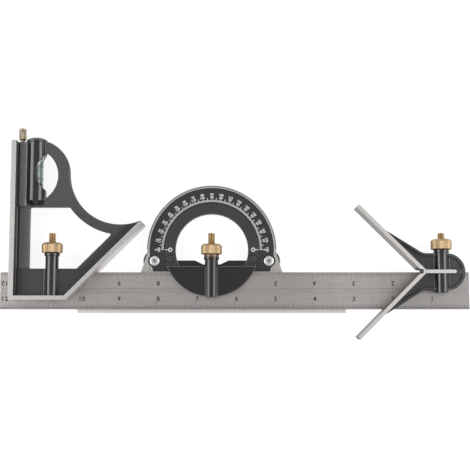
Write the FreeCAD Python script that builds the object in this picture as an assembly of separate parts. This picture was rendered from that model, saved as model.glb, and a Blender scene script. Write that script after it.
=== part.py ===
import FreeCAD, Part
import math
import os

# Combination square set, millimetres. The set lies on its back: X runs along the rule,
# Y is up the square head, Z is towards the viewer and Z = 0 is the surface it rests on.
# Drawn with X = 0 at the middle of the rule and Y = 0 on its centreline, then shifted
# so that the origin is under the middle of the whole set.

# rule
RULE_LENGTH = 304.8
RULE_WIDTH = 24.0
RULE_THICKNESS = 2.4
RULE_BACK_Z = 7.0
GROOVE_WIDTH = 3.2
GROOVE_DEPTH = 0.9
RULE_GAP = 0.3
LEDGE_GAP = 0.1

# running fits and moving gaps
FIT = 0.05
SWING_GAP = 0.3

# clamp mechanism, the same three times
BOLT_AXIS_RISE = 3.2
BOLT_RADIUS = 3.1
BOLT_SHOULDER_Y = 9.5
STUD_RADIUS = 2.4
STUD_TOP_Y = 37.2
HOOK_TRAVEL = 0.6
HOOK_HALF_X = 1.3
FLAT_GAP = 0.4
SPRING_TOP_Y = 17.0
SPRING_WIRE = 0.6
SPRING_TURNS = 5
SPRING_STEPS = 10
SPRING_SIDES = 4
HOOK_GAP = 0.2
COLUMN_RADIUS = 4.3
COLLAR_RADIUS = 5.0
COLLAR_HEIGHT = 1.8
NUT_RADIUS = 6.75
NUT_HEIGHT = 7.0
NUT_TOP_CHAMFER = 1.1
NUT_FOOT_CHAMFER = 0.3
WASHER_RADIUS = 4.8
WASHER_HEIGHT = 1.5
STUD_CHAMFER = 0.5

# square head
HEAD_GAP = 4.265
SQUARE_TOP_Y = 97.5
SQUARE_BOTTOM_Y = -6.2
SQUARE_DEPTH = 19.5
SQUARE_RIM_LEFT = 3.2
SQUARE_RIM_BOTTOM = 2.8
SQUARE_RIM_MITRE = 2.7
SQUARE_MITRE_REACH = 43.0
SQUARE_TIP_Y = 43.1
SQUARE_BLOCK_BACK_Z = 4.4
SQUARE_WEB_BACK_Z = 7.4
SQUARE_WEB_FRONT_Z = 12.0
SQUARE_BLOCK_FRONT_Z = 13.0
SQUARE_EDGE_CHAMFER = 0.8
SQUARE_CLAMP_IN = 26.6
SQUARE_COLUMN_TOP_Y = 24.0
RIM_GROOVE_WIDTH = 1.1
RIM_GROOVE_FLOOR_Z = 11.5
CURVE_IN = 70.4
CURVE_DOWN = 20.9
CURVE_RADIUS = 33.4
EAR_RADIUS = 22.8
SWEEP_WALL = 6.4
MITRE_WALL = 10.5
STEM_WIDTH = 11.1
WINDOW_BOTTOM_Y = 14.2
WINDOW_TOP_Y = 54.5
WINDOW_ROUND = 1.2
ALMOND_DOWN = 22.2
ALMOND_RADIUS = 18.2

# spirit vial in the square head
VIAL_IN = 14.7
VIAL_Z = 9.75
VIAL_RADIUS = 4.5
VIAL_WALL = 1.0
VIAL_LENGTH = 38.0
VIAL_BOSS_RADIUS = 6.3
VIAL_BOSS_TOE = 2.7
VIAL_BOSS_TAPER = 3.2
VIAL_BOSS_TOE_RADIUS = 3.6
VIAL_END_GAP = 0.3
VIAL_CAP_RADIUS = 6.75
VIAL_CAP_HEIGHT = 2.6
VIAL_CAP_DOME = 1.2
VIAL_CAP_DOME_INSET = 2.1
VIAL_CAP_PLUG = 1.0
PEEP_IN = 30.6
PEEP_DOWN = 20.2
PEEP_RADIUS = 15.1
BUBBLE_LENGTH = 9.0
BUBBLE_DEPTH = 1.4

# scriber in the square head
SCRIBER_IN = 5.0
SCRIBER_Z = 9.5
SCRIBER_RADIUS = 1.3
SCRIBER_LENGTH = 58.0
SCRIBER_POINT = 6.0
KNOB_RADIUS = 2.5
KNOB_LENGTH = 7.2
KNOB_NECK = 2.2
KNOB_NECK_RADIUS = 1.5
SLEEVE_RADIUS = 1.75
SLEEVE_LENGTH = 9.0
RIB_LEFT_OF_SCRIBER = 0.5
RIB_RIGHT_OF_SCRIBER = 4.2
RIB_BACK_Z = 7.0
RIB_FRONT_Z = 14.0
RIB_ROUND = 0.8

# protractor head
PROTRACTOR_X = -15.0
PROTRACTOR_Y = 27.0
TURRET_RADIUS = 30.7
TURRET_RIM = 6.8
TURRET_BACK_Z = 0.5
TURRET_FACE_Z = 6.7
TURRET_FLANGE = 1.7
TURRET_REAR_STEP = 1.1
FLANGE_BACK_Z = 4.0
FLANGE_FRONT_Z = 5.5
FLANGE_GAP = 0.1
LIP_GAP = 0.2
BRIDGE_TOP = 7.1
BRIDGE_DIP = 9.7
BRIDGE_DIP_OUTER = 11.0
BRIDGE_DIP_INNER = 5.5
SEGMENT_TOP = 11.3
SEGMENT_THICKNESS = 3.3
SEGMENT_CHAMFER = 0.35
PROTRACTOR_COLUMN_TOP_Y = 21.6
PROTRACTOR_COLUMN_FOOT_Y = -4.2
BODY_RING = 11.7
DIAL_BORDER = 1.6
DIAL_THICKNESS = 1.0
DIAL_CHORD = 14.3
FOOT_START = 3.0
FOOT_LINE_END = 15.5
FOOT_FLARE_DEG = 19.0
BASE_HALF_LENGTH = 87.5
BASE_BOTTOM = 41.2
BASE_HEIGHT = 7.7
TURRET_PLUG_IN = 3.7
TURRET_PLUG_DROP = 6.0
TURRET_PLUG_RADIUS = 2.6
TURRET_PLUG_DEPTH = 2.7
TURRET_PLUG_CHAMFER = 0.3
TURRET_SCREW_X = 16.0
TURRET_SCREW_RADIUS = 1.25
TURRET_SCREW_HEAD = 2.2
LOCK_OUT = 6.8
LOCK_DROP = 7.3
LOCK_HEAD_RADIUS = 3.5
LOCK_HEAD_HEIGHT = 1.6
LOCK_HEAD_DOME = 0.8
LOCK_HEAD_DOME_INSET = 1.4
LOCK_HEAD_SINK = 0.1
LOCK_SHANK_RADIUS = 2.0
LOCK_NUT_RADIUS = 7.7
LOCK_POCKET_GAP = 0.9
LOCK_NUT_HEIGHT = 3.4
LOCK_NUT_BACK_Z = 0.25
LOCK_POCKET_DEPTH = 3.9
FOOT_PIN_OUT = 9.8
FOOT_PIN_DROP = 12.6
FOOT_PIN_RADIUS = 1.2
FOOT_PIN_LENGTH = 2.0

# centre head
VEE_INSET = 31.9
ARM_REACH = 41.8
ARM_THICKNESS = 2.5
ARM_BACK_Z = 3.7
ARM_FRONT_Z = 17.9
CENTRE_BODY_FRONT_Z = 14.0
CENTRE_CLAMP_OUT = 13.6
CENTRE_COLUMN_TOP_Y = 26.2
CENTRE_COLUMN_FOOT_Y = -1.3
LOBE_OUT = 16.7
LOBE_RADIUS = 12.0
SHOULDER_OUT = 1.5
SHOULDER_ROUND = 7.0
WING_START = 25.2
PANEL_BORDER = 1.7
PANEL_DEPTH = 1.5
BACK_PANEL_DEPTH = 0.8
BISECTOR_HALF = 1.2
BISECTOR_LENGTH = 22.1
NOTCH_HALF = 1.4
NOTCH_BACK = 3.5
NOTCH_FRONT = 0.9

RULE_FRONT_Z = RULE_BACK_Z + RULE_THICKNESS
RULE_TOP_Y = RULE_WIDTH / 2
SLOT_BACK_Z = RULE_BACK_Z - RULE_GAP
SLOT_FRONT_Z = RULE_FRONT_Z + RULE_GAP
LEDGE_Y = RULE_TOP_Y + LEDGE_GAP
BOLT_Z = RULE_FRONT_Z + BOLT_AXIS_RISE
BORE_RADIUS = BOLT_RADIUS + FIT
STUD_HOLE_RADIUS = STUD_RADIUS + FIT
BODY_RADIUS = TURRET_RADIUS + BODY_RING
# the square head's tip stands HEAD_GAP away from the round protractor body
TIP_TO_PROTRACTOR = math.sqrt((BODY_RADIUS + HEAD_GAP) ** 2 - (SQUARE_TIP_Y - PROTRACTOR_Y) ** 2)
SQUARE_LEFT_X = PROTRACTOR_X - TIP_TO_PROTRACTOR - SQUARE_TIP_Y - SQUARE_MITRE_REACH
SQUARE_CLAMP_X = SQUARE_LEFT_X + SQUARE_CLAMP_IN
CURVE_X = SQUARE_LEFT_X + CURVE_IN
CURVE_Y = SQUARE_TOP_Y - CURVE_DOWN
STEM_RIGHT_X = SQUARE_LEFT_X + STEM_WIDTH
ALMOND_Y = SQUARE_TOP_Y - ALMOND_DOWN
PEEP_X = SQUARE_LEFT_X + PEEP_IN
PEEP_Y = SQUARE_TOP_Y - PEEP_DOWN
VIAL_X = SQUARE_LEFT_X + VIAL_IN
VIAL_SEAT_Y = SQUARE_TOP_Y - VIAL_CAP_PLUG - VIAL_END_GAP - VIAL_LENGTH
VIAL_BOSS_BOTTOM_Y = VIAL_SEAT_Y - VIAL_BOSS_TOE
SCRIBER_X = SQUARE_LEFT_X + SCRIBER_IN
RIB_LEFT_X = SCRIBER_X - RIB_LEFT_OF_SCRIBER
RIB_RIGHT_X = SCRIBER_X + RIB_RIGHT_OF_SCRIBER
TURRET_INNER_RADIUS = TURRET_RADIUS - TURRET_RIM
TURRET_REAR_RADIUS = TURRET_RADIUS - TURRET_REAR_STEP
TURRET_PLUG_X = TURRET_RADIUS - TURRET_PLUG_IN
DIAL_RADIUS = BODY_RADIUS - DIAL_BORDER
LOCK_X = TURRET_RADIUS + LOCK_OUT
FOOT_PIN_X = TURRET_RADIUS + FOOT_PIN_OUT
VEE_X = RULE_LENGTH / 2 - VEE_INSET
CENTRE_CLAMP_X = VEE_X + CENTRE_CLAMP_OUT
LOBE_X = VEE_X + LOBE_OUT
SHOULDER_X = VEE_X + SHOULDER_OUT
BISECTOR_END_X = VEE_X + BISECTOR_LENGTH
# how far cutting shapes run past the faces that they cut
PLAY = 1.0
OVERCUT = 0.1


def vec(x, y, z=0.0):
    return FreeCAD.Vector(x, y, z)


def block(x0, y0, z0, x1, y1, z1):
    return Part.makeBox(x1 - x0, y1 - y0, z1 - z0, vec(x0, y0, z0))


def rod_y(x, z, radius, y0, y1):
    return Part.makeCylinder(radius, y1 - y0, vec(x, y0, z), vec(0, 1, 0))


def rod_z(x, y, radius, z0, z1):
    return Part.makeCylinder(radius, z1 - z0, vec(x, y, z0))


def line(a, b):
    return Part.LineSegment(vec(*a), vec(*b)).toShape()


def arc(a, middle, b):
    return Part.Arc(vec(*a), vec(*middle), vec(*b)).toShape()


def prism(edges, z0, z1):
    face = Part.Face(Part.Wire(edges))
    face.translate(vec(0, 0, z0))
    return face.extrude(vec(0, 0, z1 - z0))


def polygon(points, z0, z1):
    closed = points + points[:1]
    return prism([line(a, b) for a, b in zip(closed, closed[1:])], z0, z1)


def on_circle(x, y, radius, degrees):
    angle = math.radians(degrees)
    return (x + radius * math.cos(angle), y + radius * math.sin(angle))


def bearing(x, y, point):
    return math.degrees(math.atan2(point[1] - y, point[0] - x))


def arc_about(x, y, radius, start_deg, end_deg):
    middle = (start_deg + end_deg) / 2
    return arc(on_circle(x, y, radius, start_deg), on_circle(x, y, radius, middle),
               on_circle(x, y, radius, end_deg))


def mirrored(shape, y):
    return shape.mirror(vec(0, y, 0), vec(0, 1, 0))


def upright(edge):
    """True for an edge that runs straight along Z."""
    return abs(edge.BoundBox.ZLength - edge.Length) < FIT


def turned(profile, x, z):
    """A solid of revolution about a line along Y, from (radius, y) points."""
    points = [(x + r, y) for r, y in profile]
    closed = points + points[:1]
    face = Part.Face(Part.Wire([line(a, b) for a, b in zip(closed, closed[1:])]))
    face.translate(vec(0, 0, z))
    return face.revolve(vec(x, 0, z), vec(0, 1, 0), 360)


# what the three clamps share

def rule_slot(x0, x1, y0):
    return block(x0, y0, SLOT_BACK_Z, x1, LEDGE_Y, SLOT_FRONT_Z)


def clamp_column(x, foot_y, top_y):
    column = rod_y(x, BOLT_Z, COLUMN_RADIUS, foot_y, top_y)
    collar = rod_y(x, BOLT_Z, COLLAR_RADIUS, top_y - COLLAR_HEIGHT, top_y)
    return column.fuse(collar)


def clamp_bore(x, foot_y, top_y):
    bore = rod_y(x, BOLT_Z, BORE_RADIUS, foot_y - PLAY, SPRING_TOP_Y)
    stud_hole = rod_y(x, BOLT_Z, STUD_HOLE_RADIUS, SPRING_TOP_Y - PLAY, top_y + PLAY)
    hook_way = block(x - HOOK_HALF_X - RULE_GAP, foot_y - PLAY, SLOT_BACK_Z,
                     x + HOOK_HALF_X + RULE_GAP, LEDGE_Y, BOLT_Z)
    return bore.fuse(stud_hole).fuse(hook_way)


def hook_bottom_y():
    return -GROOVE_WIDTH / 2 + HOOK_TRAVEL + FIT


def clamp_bolt(x):
    foot = hook_bottom_y()
    body = rod_y(x, BOLT_Z, BOLT_RADIUS, foot, BOLT_SHOULDER_Y)
    flat = block(x - BOLT_RADIUS, foot - PLAY, RULE_BACK_Z,
                 x + BOLT_RADIUS, BOLT_SHOULDER_Y + PLAY, RULE_FRONT_Z + FLAT_GAP)
    stud = turned([(0, BOLT_SHOULDER_Y), (STUD_RADIUS, BOLT_SHOULDER_Y),
                   (STUD_RADIUS, STUD_TOP_Y - STUD_CHAMFER),
                   (STUD_RADIUS - STUD_CHAMFER, STUD_TOP_Y), (0, STUD_TOP_Y)], x, BOLT_Z)
    hook_face_z = RULE_FRONT_Z - GROOVE_DEPTH + HOOK_GAP
    hook = block(x - HOOK_HALF_X, foot, hook_face_z,
                 x + HOOK_HALF_X, GROOVE_WIDTH / 2 - LEDGE_GAP, BOLT_Z)
    return body.cut(flat).fuse(stud).fuse(hook).removeSplitter()


def clamp_nut(x, seat_y):
    low = seat_y + LEDGE_GAP
    high = low + NUT_HEIGHT
    inner = STUD_HOLE_RADIUS
    outer = NUT_RADIUS
    return turned([(inner, low), (outer - NUT_FOOT_CHAMFER, low),
                   (outer, low + NUT_FOOT_CHAMFER), (outer, high - NUT_TOP_CHAMFER),
                   (outer - NUT_TOP_CHAMFER, high), (inner, high)], x, BOLT_Z)


def clamp_washer(x, column_top_y):
    disc = rod_y(x, BOLT_Z, WASHER_RADIUS, column_top_y, column_top_y + WASHER_HEIGHT)
    return disc.cut(rod_y(x, BOLT_Z, STUD_HOLE_RADIUS, column_top_y - PLAY,
                          column_top_y + WASHER_HEIGHT + PLAY))


def spring_section(radius, y, turn):
    """The wire's section, a polygon in the plane through the spring's axis."""
    wire_radius = SPRING_WIRE / 2
    points = []
    for side in range(SPRING_SIDES + 1):
        angle = math.pi * (2 * side + 1) / SPRING_SIDES
        out = radius + wire_radius * math.cos(angle)
        rise = y + wire_radius * math.sin(angle)
        points.append(vec(out * math.cos(turn), rise, out * math.sin(turn)))
    return Part.makePolygon(points)


def clamp_spring(x):
    wire_radius = SPRING_WIRE / 2
    mean = (STUD_RADIUS + BORE_RADIUS) / 2
    low = BOLT_SHOULDER_Y + wire_radius + FIT
    height = SPRING_TOP_Y - wire_radius - FIT - low
    steps = SPRING_TURNS * SPRING_STEPS
    sections = [spring_section(mean, low + height * step / steps,
                               2 * math.pi * step / SPRING_STEPS) for step in range(steps + 1)]
    coil = Part.makeLoft(sections, True, True)
    coil.translate(vec(x, 0, BOLT_Z))
    return coil


# rule

def rule():
    half = RULE_LENGTH / 2
    bar = block(-half, -RULE_TOP_Y, RULE_BACK_Z, half, RULE_TOP_Y, RULE_FRONT_Z)
    groove = block(-half - PLAY, -GROOVE_WIDTH / 2, RULE_FRONT_Z - GROOVE_DEPTH,
                   half + PLAY, GROOVE_WIDTH / 2, RULE_FRONT_Z + PLAY)
    return bar.cut(groove)


# square head

def mitre_x(y, inset=0.0):
    """X on the 45 degree edge at height y, moved inwards by a wall."""
    corner = SQUARE_LEFT_X + SQUARE_MITRE_REACH
    return corner + y - inset * math.sqrt(2)


def tip_end():
    """Where the square cut end of the 45 degree edge meets the sweeping curve."""
    x0 = mitre_x(SQUARE_TIP_Y) - CURVE_X
    y0 = SQUARE_TIP_Y - CURVE_Y
    b = y0 - x0
    c = x0 * x0 + y0 * y0 - CURVE_RADIUS ** 2
    step = (-b - math.sqrt(b * b - 2 * c)) / 2
    return (mitre_x(SQUARE_TIP_Y) - step, SQUARE_TIP_Y + step)


def square_outline():
    low_left = (SQUARE_LEFT_X, SQUARE_BOTTOM_Y)
    low_right = (mitre_x(SQUARE_BOTTOM_Y), SQUARE_BOTTOM_Y)
    tip = (mitre_x(SQUARE_TIP_Y), SQUARE_TIP_Y)
    tip_top = tip_end()
    ear_x = CURVE_X - CURVE_RADIUS - EAR_RADIUS
    ear_rise = SQUARE_TOP_Y - CURVE_Y
    ear_end = math.degrees(math.asin(ear_rise / EAR_RADIUS))
    top_right = on_circle(ear_x, CURVE_Y, EAR_RADIUS, ear_end)
    top_left = (SQUARE_LEFT_X, SQUARE_TOP_Y)
    return [line(low_left, low_right), line(low_right, tip), line(tip, tip_top),
            arc_about(CURVE_X, CURVE_Y, CURVE_RADIUS, bearing(CURVE_X, CURVE_Y, tip_top), -180),
            arc_about(ear_x, CURVE_Y, EAR_RADIUS, 0, ear_end),
            line(top_right, top_left), line(top_left, low_left)]


def square_window():
    """The big opening between stem, curve, 45 degree arm and bottom block."""
    sweep = CURVE_RADIUS + SWEEP_WALL
    top_turn = math.degrees(math.asin((WINDOW_TOP_Y - CURVE_Y) / sweep))
    top_right = on_circle(CURVE_X, CURVE_Y, sweep, -180 - top_turn)
    low_right = (mitre_x(WINDOW_BOTTOM_Y, MITRE_WALL), WINDOW_BOTTOM_Y)
    x0 = low_right[0] - CURVE_X
    y0 = low_right[1] - CURVE_Y
    b = x0 + y0
    step = (-b - math.sqrt(b * b - 2 * (x0 * x0 + y0 * y0 - sweep ** 2))) / 2
    corner = (low_right[0] + step, low_right[1] + step)
    low_left = (STEM_RIGHT_X, WINDOW_BOTTOM_Y)
    top_left = (STEM_RIGHT_X, WINDOW_TOP_Y)
    edges = [line(low_left, low_right), line(low_right, corner),
             arc_about(CURVE_X, CURVE_Y, sweep, bearing(CURVE_X, CURVE_Y, corner),
                       -180 - top_turn),
             line(top_right, top_left), line(top_left, low_left)]
    window = prism(edges, -PLAY, SQUARE_DEPTH + PLAY)
    return window.makeFillet(WINDOW_ROUND, [e for e in window.Edges if upright(e)])


def almond():
    disc = rod_z(STEM_RIGHT_X, ALMOND_Y, ALMOND_RADIUS, -PLAY, SQUARE_DEPTH + PLAY)
    left = VIAL_X + VIAL_BOSS_RADIUS
    keep = block(left, ALMOND_Y - ALMOND_RADIUS, -PLAY,
                 left + ALMOND_RADIUS, ALMOND_Y + ALMOND_RADIUS, SQUARE_DEPTH + PLAY)
    return disc.common(keep)


def square_web():
    web = prism(square_outline(), SQUARE_WEB_BACK_Z, SQUARE_WEB_FRONT_Z)
    long_edges = [e for e in web.Edges
                  if not upright(e) and e.Length > EAR_RADIUS
                  and e.CenterOfMass.x > VIAL_X and e.CenterOfMass.y > SQUARE_TIP_Y]
    return web.makeChamfer(SQUARE_EDGE_CHAMFER, long_edges)


def square_rims():
    left = block(SQUARE_LEFT_X, SQUARE_BOTTOM_Y, 0,
                 SQUARE_LEFT_X + SQUARE_RIM_LEFT, SQUARE_TOP_Y, SQUARE_DEPTH)
    bottom = block(SQUARE_LEFT_X, SQUARE_BOTTOM_Y, 0, mitre_x(SQUARE_BOTTOM_Y),
                   SQUARE_BOTTOM_Y + SQUARE_RIM_BOTTOM, SQUARE_DEPTH)
    half_wall = SQUARE_RIM_MITRE / math.sqrt(2)
    tip_x = mitre_x(SQUARE_TIP_Y)
    low_x = mitre_x(SQUARE_BOTTOM_Y)
    inner_low_x = mitre_x(SQUARE_BOTTOM_Y, SQUARE_RIM_MITRE)
    mitre = polygon([(low_x, SQUARE_BOTTOM_Y), (tip_x, SQUARE_TIP_Y),
                     (tip_x - half_wall, SQUARE_TIP_Y + half_wall),
                     (inner_low_x, SQUARE_BOTTOM_Y)], 0, SQUARE_DEPTH)
    return left.fuse(bottom).fuse(mitre)


def square_block():
    """The thicker block that carries the rule slot, between the rims."""
    low = SQUARE_BOTTOM_Y
    left = SQUARE_LEFT_X + SQUARE_RIM_LEFT
    return polygon([(left, low), (mitre_x(low, SQUARE_RIM_MITRE), low),
                    (mitre_x(WINDOW_BOTTOM_Y, SQUARE_RIM_MITRE), WINDOW_BOTTOM_Y),
                    (left, WINDOW_BOTTOM_Y)], SQUARE_BLOCK_BACK_Z, SQUARE_BLOCK_FRONT_Z)


def rim_groove():
    """The channel along the foot of the left rim."""
    left = SQUARE_LEFT_X + SQUARE_RIM_LEFT
    return block(left, SQUARE_BOTTOM_Y + SQUARE_RIM_BOTTOM, RIM_GROOVE_FLOOR_Z,
                 left + RIM_GROOVE_WIDTH, SQUARE_TOP_Y + PLAY, SQUARE_DEPTH + PLAY)


def vial_boss():
    return turned([(0, VIAL_BOSS_BOTTOM_Y), (VIAL_BOSS_TOE_RADIUS, VIAL_BOSS_BOTTOM_Y),
                   (VIAL_BOSS_RADIUS, VIAL_BOSS_BOTTOM_Y + VIAL_BOSS_TAPER),
                   (VIAL_BOSS_RADIUS, SQUARE_TOP_Y), (0, SQUARE_TOP_Y)], VIAL_X, VIAL_Z)


def scriber_rib():
    rib = block(RIB_LEFT_X, WINDOW_TOP_Y, RIB_BACK_Z,
                RIB_RIGHT_X, SQUARE_TOP_Y, RIB_FRONT_Z)
    corner = [e for e in rib.Edges if e.Length > VIAL_LENGTH
              and e.CenterOfMass.x > SCRIBER_X and e.CenterOfMass.z > SCRIBER_Z]
    return rib.makeFillet(RIB_ROUND, corner)


def square_head():
    head = square_web().fuse(square_block()).fuse(square_rims())
    head = head.cut(square_window()).cut(almond()).cut(rim_groove())
    head = head.fuse(scriber_rib()).fuse(vial_boss())
    inner_floor = SQUARE_BOTTOM_Y + SQUARE_RIM_BOTTOM
    head = head.fuse(clamp_column(SQUARE_CLAMP_X, inner_floor, SQUARE_COLUMN_TOP_Y))
    head = head.cut(rule_slot(SQUARE_LEFT_X - PLAY, mitre_x(LEDGE_Y) + PLAY,
                              SQUARE_BOTTOM_Y - PLAY))
    head = head.cut(clamp_bore(SQUARE_CLAMP_X, SQUARE_BOTTOM_Y, SQUARE_COLUMN_TOP_Y))
    head = head.cut(rod_y(VIAL_X, VIAL_Z, VIAL_RADIUS + FIT, VIAL_SEAT_Y, SQUARE_TOP_Y + PLAY))
    peep = rod_z(PEEP_X, PEEP_Y, PEEP_RADIUS, -PLAY, SQUARE_DEPTH + PLAY)
    keep = block(RIB_RIGHT_X, PEEP_Y - PEEP_RADIUS, -PLAY,
                 VIAL_X + VIAL_BOSS_RADIUS + OVERCUT, PEEP_Y + PEEP_RADIUS,
                 SQUARE_DEPTH + PLAY)
    head = head.cut(peep.common(keep))
    head = head.cut(scriber_bore())
    return head.removeSplitter()


def scriber_bore():
    sleeve = rod_y(SCRIBER_X, SCRIBER_Z, SLEEVE_RADIUS, SQUARE_TOP_Y - SLEEVE_LENGTH,
                   SQUARE_TOP_Y + PLAY)
    deep = rod_y(SCRIBER_X, SCRIBER_Z, SCRIBER_RADIUS + FIT,
                 SQUARE_TOP_Y - SCRIBER_LENGTH - PLAY, SQUARE_TOP_Y)
    return sleeve.fuse(deep)


def scriber_sleeve():
    low = SQUARE_TOP_Y - SLEEVE_LENGTH
    tube = rod_y(SCRIBER_X, SCRIBER_Z, SLEEVE_RADIUS, low, SQUARE_TOP_Y)
    return tube.cut(rod_y(SCRIBER_X, SCRIBER_Z, SCRIBER_RADIUS + FIT, low - PLAY,
                          SQUARE_TOP_Y + PLAY))


def scriber_needle():
    low = SQUARE_TOP_Y - SCRIBER_LENGTH
    top = SQUARE_TOP_Y + KNOB_NECK
    return turned([(0, low), (SCRIBER_RADIUS, low + SCRIBER_POINT), (SCRIBER_RADIUS, top),
                   (0, top)], SCRIBER_X, SCRIBER_Z)


def scriber_knob():
    low = SQUARE_TOP_Y + LEDGE_GAP
    grip = SQUARE_TOP_Y + KNOB_NECK
    high = grip + KNOB_LENGTH
    neck = KNOB_NECK_RADIUS
    chamfer = STUD_CHAMFER
    knob = turned([(0, low), (neck, low), (neck, grip), (KNOB_RADIUS - chamfer, grip),
                   (KNOB_RADIUS, grip + chamfer), (KNOB_RADIUS, high - chamfer),
                   (KNOB_RADIUS - chamfer, high), (0, high)], SCRIBER_X, SCRIBER_Z)
    socket = rod_y(SCRIBER_X, SCRIBER_Z, SCRIBER_RADIUS, low - PLAY, grip)
    return knob.cut(socket)


def vial_glass():
    top = VIAL_SEAT_Y + VIAL_LENGTH
    glass = rod_y(VIAL_X, VIAL_Z, VIAL_RADIUS, VIAL_SEAT_Y, top)
    hollow = rod_y(VIAL_X, VIAL_Z, VIAL_RADIUS - VIAL_WALL, VIAL_SEAT_Y + VIAL_WALL,
                   top - VIAL_WALL)
    return glass.cut(hollow)


def vial_spirit():
    low = VIAL_SEAT_Y + VIAL_WALL
    radius = VIAL_RADIUS - VIAL_WALL
    fill = rod_y(VIAL_X, VIAL_Z, radius, low, low + VIAL_LENGTH - 2 * VIAL_WALL)
    middle = VIAL_SEAT_Y + VIAL_LENGTH / 2
    bubble_radius = (BUBBLE_LENGTH ** 2 / 4 + BUBBLE_DEPTH ** 2) / (2 * BUBBLE_DEPTH)
    centre_z = VIAL_Z + radius - BUBBLE_DEPTH + bubble_radius
    across = Part.makeCylinder(bubble_radius, 2 * radius,
                               vec(VIAL_X - radius, middle, centre_z), vec(1, 0, 0))
    return fill.cut(across)


def vial_cap():
    low = SQUARE_TOP_Y
    plug = low - VIAL_CAP_PLUG
    r = VIAL_CAP_RADIUS
    high = low + VIAL_CAP_HEIGHT
    return turned([(0, plug), (VIAL_RADIUS, plug), (VIAL_RADIUS, low), (r, low),
                   (r, high - VIAL_CAP_DOME), (r - VIAL_CAP_DOME_INSET, high), (0, high)],
                  VIAL_X, VIAL_Z)


# protractor head, drawn about the turret centre and then placed

def placed(shape):
    shape.translate(vec(PROTRACTOR_X, PROTRACTOR_Y, 0))
    return shape


def ledge_drop():
    return PROTRACTOR_Y - LEDGE_Y


def turret_disc(radius, z0, z1):
    return rod_z(0, 0, radius, z0, z1)


def turret_opening():
    """The round opening above the bridge, with a dip where the clamp column passes."""
    r = TURRET_INNER_RADIUS
    outer = on_circle(0, 0, r, -math.degrees(math.asin(BRIDGE_TOP / r)))
    start = bearing(0, 0, outer)
    points = [(-outer[0], -BRIDGE_TOP), (-BRIDGE_DIP_OUTER, -BRIDGE_TOP),
              (-BRIDGE_DIP_INNER, -BRIDGE_DIP), (BRIDGE_DIP_INNER, -BRIDGE_DIP),
              (BRIDGE_DIP_OUTER, -BRIDGE_TOP), outer]
    edges = [line(a, b) for a, b in zip(points, points[1:])]
    edges.append(arc_about(0, 0, r, start, 180 - start))
    return prism(edges, -PLAY, SQUARE_DEPTH)


def turret_back():
    disc = turret_disc(TURRET_RADIUS, FLANGE_BACK_Z, TURRET_FACE_Z)
    disc = disc.fuse(turret_disc(TURRET_REAR_RADIUS, TURRET_BACK_Z, FLANGE_BACK_Z))
    flange = turret_disc(TURRET_RADIUS + TURRET_FLANGE, FLANGE_BACK_Z, FLANGE_FRONT_Z)
    disc = disc.fuse(flange).cut(turret_opening())
    for side in (-1, 1):
        disc = disc.cut(turret_plug(side)).cut(turret_screw(side))
    return placed(disc.removeSplitter())


def turret_plug(side):
    return rod_z(side * TURRET_PLUG_X, -TURRET_PLUG_DROP, TURRET_PLUG_RADIUS,
                 TURRET_FACE_Z - TURRET_PLUG_DEPTH, TURRET_FACE_Z)


def plug_insert(side):
    """The plug itself, with a fine ring of shadow round its face."""
    plug = turret_plug(side)
    rim = [e for e in plug.Edges if e.Closed and e.CenterOfMass.z > TURRET_FACE_Z - FIT]
    return plug.makeChamfer(TURRET_PLUG_CHAMFER, rim)


def turret_screw(side):
    """Countersunk screw from the back that holds the front segment on."""
    drop = (SEGMENT_TOP + ledge_drop()) / 2
    x = side * TURRET_SCREW_X
    shank = rod_z(x, -drop, TURRET_SCREW_RADIUS, TURRET_BACK_Z, SLOT_FRONT_Z + PLAY)
    cone = Part.makeCone(TURRET_SCREW_HEAD, TURRET_SCREW_RADIUS,
                         TURRET_SCREW_HEAD - TURRET_SCREW_RADIUS, vec(x, -drop, TURRET_BACK_Z))
    return shank.fuse(cone)


def turret_front():
    front_z = SLOT_FRONT_Z + SEGMENT_THICKNESS
    radius = TURRET_RADIUS + SWING_GAP
    bottom = block(-radius, -radius - PLAY, TURRET_FACE_Z, radius, -SEGMENT_TOP, front_z)
    plate = turret_disc(radius, SLOT_FRONT_Z, front_z).common(bottom)
    front_edges = [e for e in plate.Edges if e.BoundBox.ZMin > front_z - FIT]
    plate = plate.makeChamfer(SEGMENT_CHAMFER, front_edges)
    ledge_block = block(-radius, -ledge_drop(), TURRET_FACE_Z, radius, -SEGMENT_TOP,
                        SLOT_FRONT_Z)
    ledge = turret_disc(TURRET_RADIUS, TURRET_FACE_Z, SLOT_FRONT_Z).common(ledge_block)
    front = placed(plate.fuse(ledge))
    column = clamp_column(PROTRACTOR_X, PROTRACTOR_COLUMN_FOOT_Y, PROTRACTOR_COLUMN_TOP_Y)
    front = front.fuse(column)
    front = front.cut(rule_slot(PROTRACTOR_X - radius, PROTRACTOR_X + radius,
                                PROTRACTOR_COLUMN_FOOT_Y - PLAY))
    front = front.cut(clamp_bore(PROTRACTOR_X, PROTRACTOR_COLUMN_FOOT_Y,
                                 PROTRACTOR_COLUMN_TOP_Y))
    for side in (-1, 1):
        front = front.cut(placed(turret_screw(side)))
    return front.removeSplitter()


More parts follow.
